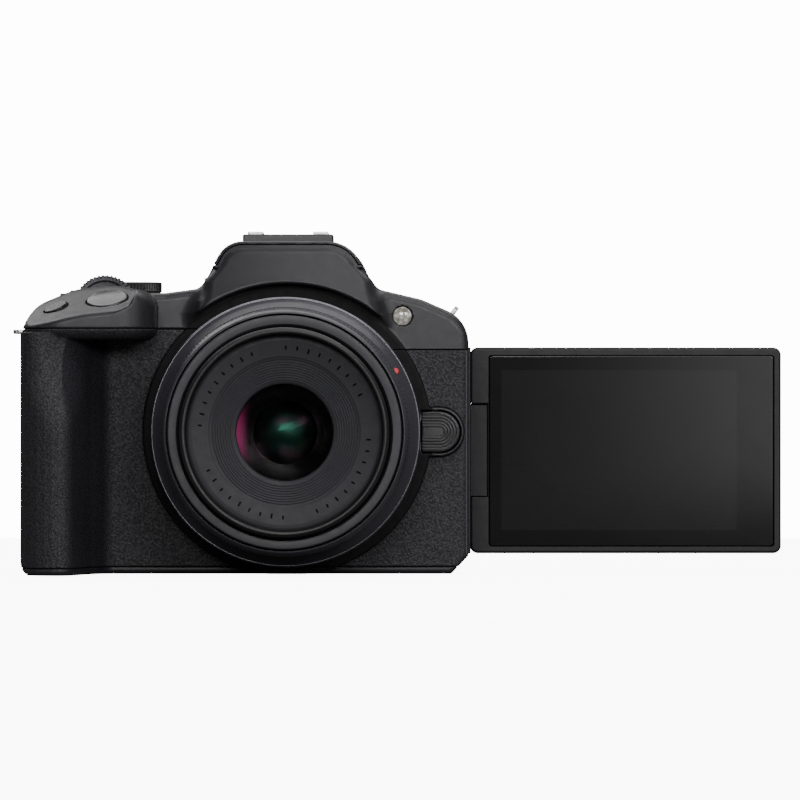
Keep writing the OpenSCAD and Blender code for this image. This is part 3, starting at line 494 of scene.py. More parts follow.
def flash_cover(x, y, z):
    outline, side = HUMP_OUTLINE(x, z), np.abs(x)
    lid = every(lid_form(x, y, z), -outline - lid_depth(x, y, z), 78.45 - z)
    lid = both(lid, some(y - FLASH_PIVOT[0], every(lid_knuckle(y, z, 3.8), side - 18.4)), 0.2)
    head = block(x, y, z, (-12.4, -15.4, 78.6), (12.4, -6.8, 83.4), 0.4)
    head = less(head, block(x, y, z, (-11, -14.4, 77), (11, -7.8, 80.8)), 0.2)
    ribs = every(slab(side, 14.8, 15.6), slab(y, -14.5, -6.5), 80.2 - z)
    arm = block(side, y, z, (9.8, -7.3, 78.9), (11.6, -3.6, 83), 0.2)
    eye = every(lid_knuckle(y, z, 1.6), slab(side, 9.8, 11.6))
    pin = every(lid_knuckle(y, z, 0.8), side - 14.2)
    return some(lid, every(some(head, ribs, arm, eye, pin), outline + 0.3))


def release_button(x, y, z):
    button = both(release_shape(x, z), slab(y, -18.8, -12), 0.5)
    depth = -release_end(x, z)
    groove = np.abs(np.mod(depth, 0.75) - 0.375) / 0.375
    groove = np.where((depth > 0.6) & (depth < 4.2), np.clip(1 - groove, 0, 1), 0)
    button = every(button, -18.8 + 0.13 * groove - y)
    pin = every(circle(x, z, (29.3, AXIS), 1), slab(y, -20.8, -12))
    rod_in = every(slab(x, 28.3, 35), slab(z, 34, 38), slab(y, -13.5, -12))
    return some(button, pin, rod_in)


def eyecup(x, y, z):
    cup = block(x, y, z, (-20, 24.1, 59.8), (20, 27.8, 81.2), 1.4)
    cup = every(cup, block(x, y, z, (-20, 15, 59.8), (20, 40, 81.2), 5))
    dish = block(x, y, z, (-17.6, 26.2, 62.2), (17.6, 34, 78.8), 3)
    cup = less(cup, dish, 0.6)
    sleeve = every(block(x, y, z, (-16.7, 15, 62), (16.7, 40, 79), 2), slab(y, 21.9, 25))
    return less(some(cup, sleeve), block(x, y, z, (-13.5, 0, 62.8), (13.5, 60, 78.2), 3.5), 0.5)


def hot_shoe(x, y, z):
    base = block(x, y, z, (-11.6, -0.6, 83.7), (11.6, 18, 86.4), 0.5)
    return less(base, block(x, y, z, (-10.35, 0.6, 83), (10.35, 30, 90), 0.1), 0.1)


def shoe_rails(x, y, z):
    rails = block(x, y, z, (-10.3, 0.7, 83.7), (10.3, 18, 87.1), 0.25)
    rails = less(rails, block(x, y, z, (-9.4, 1.5, 84.3), (9.4, 30, 86.4)), 0.1)
    slots = [block(x, y, z, (-6.4, 1.5, 85), (6.4, 30, 90)), block(x, y, z, (-6.4, -5, 84.3), (6.4, 5, 90))]
    spring = block(np.abs(x), y, z, (7.2, 3, 84.35), (8.8, 15, 84.75), 0.15)
    return some(cut(rails, slots, 0.15), spring)


def left_lug(x, y, z):
    lug = block(x, y, z, (-70.2, -2, 60.9), (-64.5, 8, 62), 0.35)
    lug = every(lug, block(x, y, z, (-70.2, -2, 50), (-55, 8, 72), 1.6))
    return less(lug, block(x, y, z, (-69.4, 0, 58), (-68.4, 6, 65), 0.4), 0.2)


def right_lug(x, y, z):
    along, across = plane(x, y, z, LUG_AT, LUG_N), plane(x, y, z, LUG_AT, LUG_SIDE)
    lug = block(across, y, along, (-0.6, -1, -2.5), (0.6, 7, 2.8), 0.35)
    lug = every(lug, block(across, y, along, (-5, -1, -2.5), (5, 7, 2.8), 1.3))
    return less(lug, block(across, y, along, (-2, 0.6, 1), (2, 5.4, 2), 0.4), 0.2)


def port_cover(x, y, z, low):
    flap = block(x, y, z, (44.5, -12.1, low), (46, -1, low + PORT_TALL), 0.35)
    flap = less(flap, block(x, y, z, (45.4, -2.4, low + 6.5), (47, 0, low + 13.5), 0.3), 0.2)
    return some(flap, every(circle(x, y, (45.15, -12.6), 0.85), slab(z, low, low + PORT_TALL)))


def direction_pad(x, y, z):
    rho = circle(x, z, PAD_AT, 0)
    ring = both(slab(rho, 4.4, 9.3), slab(y, 16.2, 18.7), 0.3)
    dish = (rho - 7.2) ** 2 / 9 - 0.25
    ring = every(ring, 0.8 * (y - 18.45 - dish))
    turn = np.abs(np.mod(np.arctan2(z - PAD_AT[1], x - PAD_AT[0]), math.pi / 2) - math.pi / 4)
    dots = every(np.abs(rho - 7.3) - 0.3, (math.pi / 4 - turn) * 7.3 - 0.9)
    return less(ring, every(dots, 18.1 - y), 0.08)


def power_lever(x, y, z):
    u, v = x - POWER_AT[0], y - POWER_AT[1]
    c, s = math.cos(math.radians(75)), math.sin(math.radians(75))
    hub = both(circle(x, y, POWER_AT, 3.6), slab(z, 71.5, 72.2), 0.3)
    arm = block(u * c + v * s, v * c - u * s, z, (0, -1.2, 71.5), (6.2, 1.2, 72.3), 0.35)
    post = every(circle(x, y, POWER_AT, 2), slab(z, 66, 72))
    return some(either(hub, arm, 0.8), post)


def hinge_block(x, y, z):
    at = HINGE_AT
    barrel = every(circle(x, y, at, 2.4), np.abs(z - at[2]) - 10.4)
    arm = block(x, y, z, (at[0], at[1] - 2.4, at[2] - 13), (51.07, at[1] + 2.4, at[2] + 13))
    arm = every(arm, circle(y, z, at[1:], 11.97))
    form = less(some(barrel, arm), circle(x, y, at, 1.05))
    for ear in (at[2] - 10.95, at[2] + 10.95):
        near = every(circle(x, y, at, 2.38), np.abs(z - ear) - 0.44)
        far = every(slab(x, at[0] - 1, at[0] + 3.3), at[1] - y, np.abs(z - ear) - 0.5)
        form = less(form, some(near, far))
    return some(form, every(circle(y, z, at[1:], 1.4), slab(x, 50, 55.6)))


def panel(x, y, z, low, high):
    """The screen panel's own form between two depths."""
    form = block(x, y, z, (PANEL_LOW[0], low - 3, PANEL_LOW[2]), (PANEL_HIGH[0], high + 3, PANEL_HIGH[2]), 2)
    form = both(form, slab(y, PANEL_LOW[1], PANEL_HIGH[1]), 0.7)
    form = both(form, slab(y, low, high), 0.1)
    notch = block(x, y, z, (0, 0, HINGE_AT[2] - 11.95), (51.05, 40, HINGE_AT[2] + 11.95))
    return less(form, notch, 0.1)


def axle_hole(x, y, z):
    return every(circle(y, z, HINGE_AT[1:], 1.45), x - 53.1)


def screen_frame(x, y, z):
    form = panel(x, y, z, PANEL_LOW[1], PANEL_SPLIT - SEAM)
    form = less(form, block(x, y, z, (52.7, 13.2, 7.2), (123.8, 40, 55)))
    form = less(form, block(x, y, z, (51.5, 0, 6.4), (124.7, 13.4, 55.5), 0.8), 0.12)
    return less(form, axle_hole(x, y, z))


def screen_back(x, y, z):
    form = panel(x, y, z, PANEL_SPLIT + SEAM, PANEL_HIGH[1])
    form = less(form, block(x, y, z, (52.7, 0, 7.2), (123.8, 16.8, 55)))
    frame_line = block(x, y, z, (56, 0, 9.5), (121, 40, 52.7), 4)
    form = less(form, every(np.abs(frame_line) - 0.25, 17.7 - y), 0.1)
    form = less(form, block(x, y, z, (80, 17.2, 55.6), (93, 20, 60), 0.8), 0.4)
    return less(form, axle_hole(x, y, z))


def screen_glass(x, y, z):
    glass = block(x, y, z, (51.6, 5, 6.5), (124.6, 30, 55.4), 0.8)
    return both(glass, slab(y, 12.45, 13.35), 0.12)


# ---------- Meshing ----------
CORNERS = [(i, j, k) for i in (0, 1) for j in (0, 1) for k in (0, 1)]
EDGES = [(a, b) for a in CORNERS for b in CORNERS
         if sum(b) - sum(a) == 1 and all(q >= p for p, q in zip(a, b))]


def net(shape, low, high, cell):
    """A quad mesh of a signed-distance shape, with its points settled on the true surface."""
    axes = [np.arange(a - 1.37 * cell, b + 2 * cell, cell, dtype=np.float32) for a, b in zip(low, high)]
    x, y, z = axes[0][:, None, None], axes[1][None, :, None], axes[2][None, None, :]
    field = np.broadcast_to(shape(x, y, z), [len(a) for a in axes]).astype(np.float32)
    inside = field < 0
    counts = [n - 1 for n in field.shape]
    total = np.zeros(counts, np.int8)
    for i, j, k in CORNERS:
        total += inside[i:i + counts[0], j:j + counts[1], k:k + counts[2]]
    cells = np.argwhere((total > 0) & (total < 8))
    index = np.full(counts, -1, np.int32)
    index[tuple(cells.T)] = np.arange(len(cells))
    place = np.zeros((len(cells), 3))
    hits = np.zeros(len(cells))
    for a, b in EDGES:
        va = field[tuple((cells + a).T)]
        vb = field[tuple((cells + b).T)]
        crossed = (va < 0) != (vb < 0)
        t = np.where(crossed, va / np.where(crossed, va - vb, 1), 0)
        place += crossed[:, None] * (np.array(a) + t[:, None] * (np.array(b) - a))
        hits += crossed
    points = np.array([a[0] for a in axes]) + cell * (cells + place / hits[:, None])
    quads = []
    for axis in range(3):
        u, v = (axis + 1) % 3, (axis + 2) % 3
        start = [slice(1, n - 1) for n in field.shape]
        start[axis] = slice(0, field.shape[axis] - 1)
        end = list(start)
        end[axis] = slice(1, field.shape[axis])
        here, there = inside[tuple(start)], inside[tuple(end)]
        at = np.argwhere(here != there)
        rising = here[tuple(at.T)]
        at = at + np.array([s.start for s in start])
        du, dv = np.eye(3, dtype=int)[u], np.eye(3, dtype=int)[v]
        ring = np.stack([index[tuple((at - s).T)] for s in (du + dv, dv, 0 * du, du)], 1)
        ring[~rising] = ring[~rising][:, ::-1]
        quads.append(ring)
    quads = np.concatenate(quads)
    for _ in range(2):
        slope, value = gradient(shape, points)
        steep = np.maximum((slope ** 2).sum(1), 0.2)
        step = slope * (value / steep)[:, None]
        length = np.linalg.norm(step, axis=1, keepdims=True)
        points -= step * np.minimum(1, 0.5 * cell / np.maximum(length, 1e-9))
    return points, quads


def gradient(shape, points, reach=0.02):
    x, y, z = points.T
    value = shape(x, y, z)
    slope = np.stack([
        shape(x + reach, y, z) - shape(x - reach, y, z),
        shape(x, y + reach, z) - shape(x, y - reach, z),
        shape(x, y, z + reach) - shape(x, y, z - reach),
    ], 1) / (2 * reach)
    return slope, value


def add_mesh(name, points, faces, mat, body, part, smooth=True, normals=None):
    """Makes a piece, in metres, ties it to its body and hides the CAD node it stands for."""
    mesh = bpy.data.meshes.new(name)
    points = np.asarray(points, float) * MM
    if isinstance(faces, np.ndarray):
        count = len(faces)
        mesh.vertices.add(len(points))
        mesh.vertices.foreach_set("co", points.ravel())
        mesh.loops.add(count * faces.shape[1])
        mesh.loops.foreach_set("vertex_index", faces.ravel().astype(np.int32))
        mesh.polygons.add(count)
        mesh.polygons.foreach_set("loop_start", np.arange(count, dtype=np.int32) * faces.shape[1])
        mesh.update(calc_edges=True)
    else:
        mesh.from_pydata([tuple(p) for p in points], [], faces)
        mesh.update()
    mesh.validate()
    mesh.polygons.foreach_set("use_smooth", [smooth] * len(mesh.polygons))
    piece = bpy.data.objects.new(name, mesh)
    bpy.context.scene.collection.objects.link(piece)
    if normals is not None and len(normals) == len(mesh.vertices):
        mesh.normals_split_custom_set_from_vertices([tuple(n) for n in normals])
    mesh.materials.append(mat)
    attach(piece, body)
    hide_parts(part)
    return piece


def carve(name, shape, low, high, mat, body, part, cell=0.4):
    """A piece meshed from a signed-distance shape, in cells of one size."""
    points, quads = net(shape, low, high, cell * COARSE)
    slope, _ = gradient(shape, points)
    normals = slope / np.maximum(np.linalg.norm(slope, axis=1, keepdims=True), 1e-9)
    return add_mesh(name, points, quads, mat, body, part, normals=normals)


def axes_for(n):
    """Two unit vectors across n, and n itself."""
    n = Vector(n).normalized()
    across = Vector((1, 0, 0)) if abs(n.x) < 0.9 else Vector((0, 1, 0))
    u = (across - n * across.dot(n)).normalized()
    return u, n.cross(u), n


def lathe(name, profile, at, n, mat, body, part, steps=160, ripple=None, closed=False):
    """Turns [radius, height] points about an axis. ripple(radius, height, angles) moves the radius."""
    steps = max(24, steps // COARSE)
    u, v, w = (np.array(a) for a in axes_for(n))
    origin = np.array(at, float)
    angles = np.arange(steps) * 2 * math.pi / steps
    points, rings = [], []
    for r, h in profile:
        if r < 1e-6:
            rings.append([len(points)] * steps)
            points.append(origin + w * h)
            continue
        radius = np.full(steps, float(r))
        if ripple is not None:
            radius = radius + ripple(r, h, angles)
        rings.append(list(range(len(points), len(points) + steps)))
        points += list(origin + w * h + np.outer(radius * np.cos(angles), u)
                       + np.outer(radius * np.sin(angles), v))
    faces = []
    for a, b in zip(rings, rings[1:] + rings[:1] if closed else rings[1:]):
        for i in range(steps):
            j = (i + 1) % steps
            if a[i] == a[j] and b[i] == b[j]:
                break
            if a[i] == a[j]:
                faces.append((a[i], b[j], b[i]))
            elif b[i] == b[j]:
                faces.append((a[i], a[j], b[i]))
            else:
                faces.append((a[i], a[j], b[j], b[i]))
    piece = add_mesh(name, np.array(points), faces, mat, body, part)
    outward(piece.data)
    return piece


def outward(mesh):
    """Turns every face outward."""
    bm = bmesh.new()
    bm.from_mesh(mesh)
    bmesh.ops.recalc_face_normals(bm, faces=bm.faces)
    bm.to_mesh(mesh)
    bm.free()
    mesh.update()


# ---------- Materials ----------
class Graph:
    """A node tree. Each call adds a node and returns what it gives."""

    def __init__(self, tree):
        self.tree = tree

    def feed(self, socket, value):
        """Sets a socket from another node's output, a colour or a number."""
        if isinstance(value, bpy.types.NodeSocket):
            self.tree.links.new(value, socket)
        else:
            socket.default_value = (*value, 1) if socket.type == "RGBA" else value

    def node(self, kind, **values):
        """A node with its properties and its inputs set, in whose names _ stands for a space."""
        made = self.tree.nodes.new("ShaderNode" + kind)
        for key, value in values.items():
            if hasattr(made, key):
                setattr(made, key, value)
            else:
                self.feed(made.inputs[key.replace("_", " ")], value)
        return made

    def place(self):
        return self.node("TexCoord").outputs["Object"]

    def axis(self, name):
        return self.node("SeparateXYZ", Vector=self.place()).outputs[name]

    def calc(self, operation, *values, kind="Math", **options):
        made = self.node(kind, operation=operation, **options)
        for socket, value in zip(made.inputs, values):
            self.feed(socket, value)
        return made.outputs["Value" if operation == "LENGTH" else 0]

    def vector(self, operation, *values):
        return self.calc(operation, *values, kind="VectorMath")

    def noise(self, size, detail=2.0, stretch=(1, 1, 1)):
        """Noise whose lumps are about size mm across."""
        scaled = self.node("Mapping", Vector=self.place(), Scale=stretch).outputs["Vector"]
        return self.node("TexNoise", Vector=scaled, Scale=1000.0 / size, Detail=detail).outputs["Fac"]

    def spread(self, value, low, high, start=0.3, end=0.7):
        """Maps a value between start and end onto low to high."""
        made = self.node("MapRange", Value=value, From_Min=start, From_Max=end, To_Min=low, To_Max=high)
        return made.outputs["Result"]

    def blend(self, factor, a, b):
        """Mixes two colours."""
        made = self.node("Mix", data_type="RGBA")
        for i, value in ((0, factor), (6, a), (7, b)):
            self.feed(made.inputs[i], value)
        return made.outputs[2]


class Look(Graph):
    """A material with the constant values of its shader set."""

    def __init__(self, name, base, rough, metal=0.0, level=0.5, coat=0.0, coat_rough=0.15, ior=1.5,
                 tint=(1, 1, 1), glass=0.0):
        self.mat = bpy.data.materials.new(name)
        self.mat.use_nodes = True
        super().__init__(self.mat.node_tree)
        constants = {
            "Base Color": base, "Roughness": rough, "Metallic": metal, "Specular IOR Level": level,
            "IOR": ior, "Specular Tint": tint, "Coat Weight": coat, "Coat Roughness": coat_rough,
            "Transmission Weight": glass,
        }
        for socket, value in constants.items():
            self.set(socket, value)

    def set(self, socket, value):
        self.feed(self.tree.nodes["Principled BSDF"].inputs[socket], value)

    def bump(self, height, depth, strength=1.0):
        """Raises the surface by a height of up to depth mm."""
        made = self.node("Bump", Strength=strength, Distance=depth * MM, Height=height)
        self.set("Normal", made.outputs["Normal"])


def plastic(name, base, rough, grain=0.12, depth=0.012, level=0.5, coat=0.0, paint_rim_shadow=False):
    """Moulded plastic with a fine spark grain, slight wear in its gloss and uneven colour; where asked,
    painted shadow darkens the ring around the lens and the hump's underside to near black and roughens it.
    """
    look = Look(name, base, rough, level=level, coat=coat)
    dark, light = tuple(c * 0.86 for c in base), tuple(c * 1.16 + 0.001 for c in base)
    colour = look.blend(look.noise(9.0, 3), dark, light)
    gloss = look.spread(look.noise(2.5, 4), rough - 0.05, rough + 0.05)
    if paint_rim_shadow:
        # Painted shadow: near-black colour and a rougher finish where shade falls around the lens and under
        # the hump.
        shade = painted_rim_shadow(look)
        colour = look.blend(shade, colour, (0.003, 0.003, 0.0032))
        gloss = look.calc("MULTIPLY_ADD", shade, 0.5, gloss, use_clamp=True)
    look.set("Base Color", colour)
    look.set("Roughness", gloss)
    look.bump(look.noise(grain, 2), depth)
    return look.mat


def painted_rim_shadow(look):
    """Painted shadow mask: 1 on the ring of the body around the lens and on the underside of the hump over
    it, where shade falls, else 0.
    """
    shift = look.vector("SUBTRACT", look.place(), (0, 0, AXIS * MM))
    away = look.vector("LENGTH", look.vector("MULTIPLY", shift, (1, 0, 1)))
    inside = look.spread(away, 1.0, 0.0, 37.25 * MM, 37.45 * MM)
    return look.calc("MULTIPLY", inside, look.spread(look.axis("Y"), 1.0, 0.0, -17.3 * MM, -17.1 * MM))


def leatherette(name):
    """Pebbled rubber skin: small rounded pebbles, shinier and paler on their tops."""
    look = Look(name, (0.012, 0.012, 0.0135), 0.55)
    wobble = look.node("TexNoise", Vector=look.place(), Scale=1500.0, Detail=1.0).outputs["Color"]
    push = look.vector("MULTIPLY_ADD", wobble, (0.0002, 0.0002, 0.0002), look.place())
    cells = look.node("TexVoronoi", feature="SMOOTH_F1", Vector=push, Scale=2300.0)
    top = look.spread(cells.outputs["Distance"], 1.0, 0.0, 0.1, 0.62)
    look.set("Base Color", look.blend(top, (0.005, 0.0047, 0.006), (0.030, 0.0282, 0.037)))
    look.set("Roughness", look.spread(top, 0.72, 0.46, 0, 1))
    look.bump(top, 0.10, 0.9)
    return look.mat


def metal(name, base, rough, stretch=(1, 1, 1)):
    """Metal with a fine grain, drawn out along an axis where it is brushed."""
    look = Look(name, base, rough, metal=1.0)
    fine = look.noise(0.5, 4, stretch)
    look.set("Base Color", look.blend(fine, tuple(c * 0.82 for c in base), base))
    look.set("Roughness", look.spread(look.noise(3.0, 3), rough - 0.06, rough + 0.08))
    look.bump(fine, 0.004, 0.6)
    return look.mat


def coated_glass(name, tint, rough=0.02, base=(0.002, 0.002, 0.003), glass=0.0, level=0.8, ior=1.5):
    """Glass whose coating tints what it reflects."""
    look = Look(name, base, rough, level=level, ior=ior, tint=tint, glass=glass)
    look.set("Roughness", look.spread(look.noise(20, 2), rough, rough + 0.02))
    return look.mat


def painted_reflection_ring(name):
    """A black ring with a painted magenta reflection of the lens coating on its -X side, fading out towards
    the middle.
    """
    black = (0.0005, 0.0005, 0.0006)
    look = Look(name, black, 0.3, level=0.12)
    # Painted reflection: magenta mixed into the base colour by object X, strongest at the ring's -X edge.
    fade = look.calc("POWER", look.spread(look.axis("X"), 1.0, 0.0, -11.7 * MM, -7.8 * MM), 2.6)
    look.set("Base Color", look.blend(fade, black, (0.42, 0.03, 0.16)))
    return look.mat


def circuit(name):
    """A green board with paler tracks."""
    look = Look(name, (0.01, 0.09, 0.05), 0.4)
    bricks = look.node("TexBrick", Vector=look.place(), Scale=400.0, Color1=(0.012, 0.10, 0.055),
                       Color2=(0.009, 0.08, 0.045), Mortar=(0.03, 0.16, 0.09))
    look.set("Base Color", bricks.outputs["Color"])
    look.bump(look.noise(0.4), 0.01)
    return look.mat


def lamp_glass(name):
    """A warm white faceted window."""
    look = Look(name, (0.62, 0.60, 0.55), 0.12, level=0.6, coat=0.8, coat_rough=0.04)
    cells = look.node("TexVoronoi", Vector=look.place(), Scale=900.0)
    shade = look.spread(cells.outputs["Distance"], 0.0, 1.0, 0.05, 0.75)
    look.set("Base Color", look.blend(shade, (0.70, 0.68, 0.63), (0.22, 0.20, 0.17)))
    return look.mat


def screen_face(name):
    """Gloss black glass over a slightly paler picture area."""
    look = Look(name, (0.006, 0.006, 0.007), 0.06, level=0.55)
    sides = []
    for axis, low, high in (("X", 54.7, 115.2), ("Z", 10.6, 51.7)):
        away = look.calc("ABSOLUTE", look.calc("SUBTRACT", look.axis(axis), (low + high) / 2 * MM))
        sides.append(look.calc("LESS_THAN", away, (high - low) / 2 * MM))
    inside = look.calc("MULTIPLY", *sides)
    look.set("Base Color", look.blend(inside, (0.0025, 0.0025, 0.003), (0.009, 0.009, 0.010)))
    look.set("Roughness", look.spread(look.noise(15, 2), 0.08, 0.1))
    return look.mat


# Both covers carry painted shadow on the ring around the lens and under the hump.
COVER = plastic("cover_plastic", (0.016, 0.0154, 0.0195), 0.42, paint_rim_shadow=True)
SMOOTH = plastic("smooth_cover", (0.0155, 0.0149, 0.0188), 0.41, 0.1, 0.008, paint_rim_shadow=True)
CONTROL = plastic("control_plastic", (0.014, 0.014, 0.0155), 0.33, 0.1, 0.006)
BUTTON = plastic("button_gloss", (0.012, 0.012, 0.0135), 0.26, 0.1, 0.003, coat=0.15)
SKIN_RUBBER = leatherette("grip_rubber")
SOFT_RUBBER = plastic("soft_rubber", (0.010, 0.010, 0.0105), 0.62, 0.2, 0.02)
LENS_GREY = plastic("lens_grey", (0.034, 0.033, 0.041), 0.36, 0.1, 0.006)
LENS_DARK = plastic("lens_dark", (0.019, 0.0184, 0.0235), 0.42, 0.1, 0.006)
LENS_BLACK = plastic("lens_black", (0.006, 0.006, 0.0065), 0.45, 0.1, 0.008)
NAME_FACE = plastic("name_face_plastic", (0.0235, 0.0226, 0.028), 0.6, 0.1, 0.006, level=0.4)
EDGE = metal("lens_edge", (0.14, 0.136, 0.155), 0.34)
FRAME = plastic("screen_rim_plastic", (0.0055, 0.0053, 0.0066), 0.44, 0.1, 0.006, level=0.35)
DIAL = plastic("dial_plastic", (0.034, 0.033, 0.04), 0.36, 0.1, 0.006)
INNER = plastic("inner_plastic", (0.02, 0.02, 0.022), 0.5, 0.3, 0.01)
ALLOY = metal("alloy", (0.42, 0.43, 0.45), 0.42)
STEEL = metal("steel", (0.62, 0.62, 0.63), 0.26, (1, 8, 1))
DARK_STEEL = metal("dark_steel", (0.10, 0.10, 0.105), 0.35)
CELL_WRAP = plastic("cell_wrap", (0.035, 0.036, 0.042), 0.35)
CARD_BLUE = plastic("card_plastic", (0.012, 0.03, 0.11), 0.35)
BOARD = circuit("board")
LAMP = lamp_glass("lamp")
FLASH_PANE = coated_glass("flash_pane", (1, 1, 1), 0.12, (0.62, 0.63, 0.62), 0.0, 0.6)
SCREEN = screen_face("screen_face")
FRONT_GLASS = coated_glass("front_glass", (1.0, 0.5, 0.8), 0.06, (1, 1, 1), 1.0, 0.5, 1.1)
# Black ring with a painted magenta reflection on one side, used for the lens retainer.
COAT_REFLECTION_PAINT = painted_reflection_ring("painted_coat_reflection")
DEEP_GLASS = coated_glass("deep_glass", (0.22, 1.0, 0.68), 0.3, (0.001, 0.0015, 0.0015), 0.0, 0.4)
EYE_GLASS = coated_glass("eye_glass", (0.7, 0.75, 1.0), 0.02, (0.006, 0.006, 0.008))
SENSOR = coated_glass("sensor_face", (0.6, 0.9, 1.0), 0.05, (0.02, 0.05, 0.05))
RED = plastic("red_mark", (0.62, 0.02, 0.03), 0.3, 0.2, 0.002)
WHITE = plastic("white_mark", (0.62, 0.62, 0.62), 0.45, 0.2, 0.002)
GREY = plastic("grey_mark", (0.001, 0.001, 0.0012), 0.7, 0.2, 0.002, level=0.05)


# ---------- Body pieces ----------
carve("front_shell", front_cover, (-68.5, -41.5, 1.7), (46.2, 5.1, 63.2), COVER, "camera",
      "front_cover")
carve("top_shell", top_cover, (-68.5, -39, 56.7), (46.2, 24.3, 84.6), SMOOTH, "camera",
      "top_cover", 0.34)
carve("rear_shell", rear_cover, (-68.5, 4.8, 1.7), (46.9, 22, 59.6), COVER, "camera",
      "rear_cover")
carve("base_plate", bottom_cover, (-68.5, -41.5, 0), (46.2, 18.2, 1.9), COVER, "camera",
      "bottom_cover", 0.3)
carve("grip_leather", grip_skin, (-68.5, -41.5, 1.7), (-0.3, 9.2, 62.1), SKIN_RUBBER, "camera",
      "grip_skin", 0.36)
carve("front_leather", front_skin, (0.4, -17.3, 1.7), (44.7, -15.5, 57), SKIN_RUBBER, "camera",
      "front_skin", 0.3)
carve("flash_lid", flash_cover, (-20.5, -23.5, 77), (20.5, 0.5, 84.6), SMOOTH, "flash",
      "flash_cover", 0.22)
carve("release_key", release_button, (28, -21.2, 30.5), (44, -12, 41.5), CONTROL, "lens_release",
      "release_button", 0.14)
carve("eye_rubber", eyecup, (-20.2, 21.7, 59.6), (20.2, 28, 81.4), SOFT_RUBBER, "camera",
      "eyecup", 0.3)
carve("shoe_base", hot_shoe, (-11.8, -0.8, 83.5), (11.8, 18.2, 86.6), CONTROL, "camera", "hot_shoe",
      0.16)
carve("shoe_rails", shoe_rails, (-10.5, 0.5, 83.5), (10.5, 18.2, 87.3), STEEL, "camera", "hot_shoe",
      0.16)
carve("grip_lug", left_lug, (-70.4, -2.2, 60.7), (-64.3, 8.2, 62.2), STEEL, "camera", "strap_lugs",
      0.16)
carve("hinge_lug", right_lug, (38.6, -1.2, 62.4), (45, 7.2, 69), STEEL, "camera", "strap_lugs",
      0.16)
for end, level, low in (("high", "upper", PORT_LOWS[1]), ("low", "lower", PORT_LOWS[0])):
    carve("port_flap_" + end, functools.partial(port_cover, low=low), (44, -13.8, low - 0.3),
          (46.3, -0.8, low + PORT_TALL + 0.3), SOFT_RUBBER, level + "_port",
          "port_cover_" + level, 0.2)
carve("pad_ring", direction_pad, (-60.5, 16, 17.5), (-41.5, 19.2, 36.5), CONTROL, "direction_key",
      "direction_pad", 0.16)
carve("power_key", power_lever, (-57, 5, 65.8), (-48, 17.2, 73), CONTROL, "power_switch",
      "power_lever", 0.18)
carve("screen_hinge", hinge_block, (43.7, 12.6, 19.2), (55.8, 17.8, 43), FRAME, "screen_arm",
      "hinge_block", 0.2)
carve("screen_rim", screen_frame, (46.4, 12.2, 4.4), (126.8, 16.3, 57.8), FRAME, "screen",
      "screen_frame", 0.26)
carve("screen_shell", screen_back, (46.4, 16, 4.4), (126.8, 18.2, 57.8), COVER, "screen",
      "screen_back", 0.3)
carve("screen_pane", screen_glass, (51.4, 12.3, 6.3), (124.8, 13.5, 55.6), SCREEN, "screen",
      "screen_glass", 0.2)


# ---------- Turned pieces ----------
def teeth(count, depth, low, high, sharp=1.0, least=0.0):
    """A ripple of count grooves between two heights, outside a least radius."""
    def ripple(r, h, angles):
        if not low < h < high or r < least:
            return 0 * angles
        return -depth * (0.5 - 0.5 * np.cos(angles * count)) ** sharp
    return ripple


def diamonds(r, h, angles):
    """Knurling of small diamonds, which ends in a row of dots on the bevel."""
    if not 45.5 < h < 55.6 or r < 30.4:
        return 0 * angles
    return -0.3 * np.clip(0.5 - 0.5 * np.cos(angles * 90 + h * 6.7) * np.cos(angles * 90 - h * 6.7), 0, 1)


def ring(*points):
    return rounded(points, True, 5)


def line(*points):
    return rounded(points, False, 5)


def wall(radius, low, high, count):
    """Evenly spaced points up a straight wall, for a ripple to act on."""
    return [(radius, low + (high - low) * i / (count - 1)) for i in range(count)]


def dome(radius, curve, top, count=24):
    """Points from the middle of a spherical face to its edge."""
    across = [radius * i / count for i in range(count + 1)]
    return [(r, top - curve + math.sqrt(curve ** 2 - r ** 2)) for r in across]


def compass(degrees, upright):
    """Directions outward and around at an angle, about the lens's axis if upright, else about z."""
    c, s = math.cos(math.radians(degrees)), math.sin(math.radians(degrees))
    if upright:
        return np.array([c, 0, s]), np.array([-s, 0, c])
    return np.array([c, s, 0]), np.array([-s, c, 0])


def key(name, at, n, radius, low, top, body, part, dish=0.15, edge=0.35, slot="control_plastic", mat=CONTROL):
    """A round push key with a rounded edge and a slightly hollow top."""
    flat = radius - 1.2 * edge
    profile = line((0, low), (radius, low, 0.1), (radius, top, edge), (flat, top))
    profile += [(flat * (1 - t), top - dish * (1 - (1 - t) ** 2)) for t in (i / 8 for i in range(1, 9))]
    lathe(name, profile, at, n, mat, body, part, 96)


def lens_ring(name, profile, mat, body, part, steps=200, ripple=None, closed=True, slot="lens_plastic"):
    """A piece turned about the optical axis, whose heights run forward from y = 0."""
    lathe(name, profile, (0, 0, AXIS), FORWARD, mat, body, part, steps, ripple, closed)


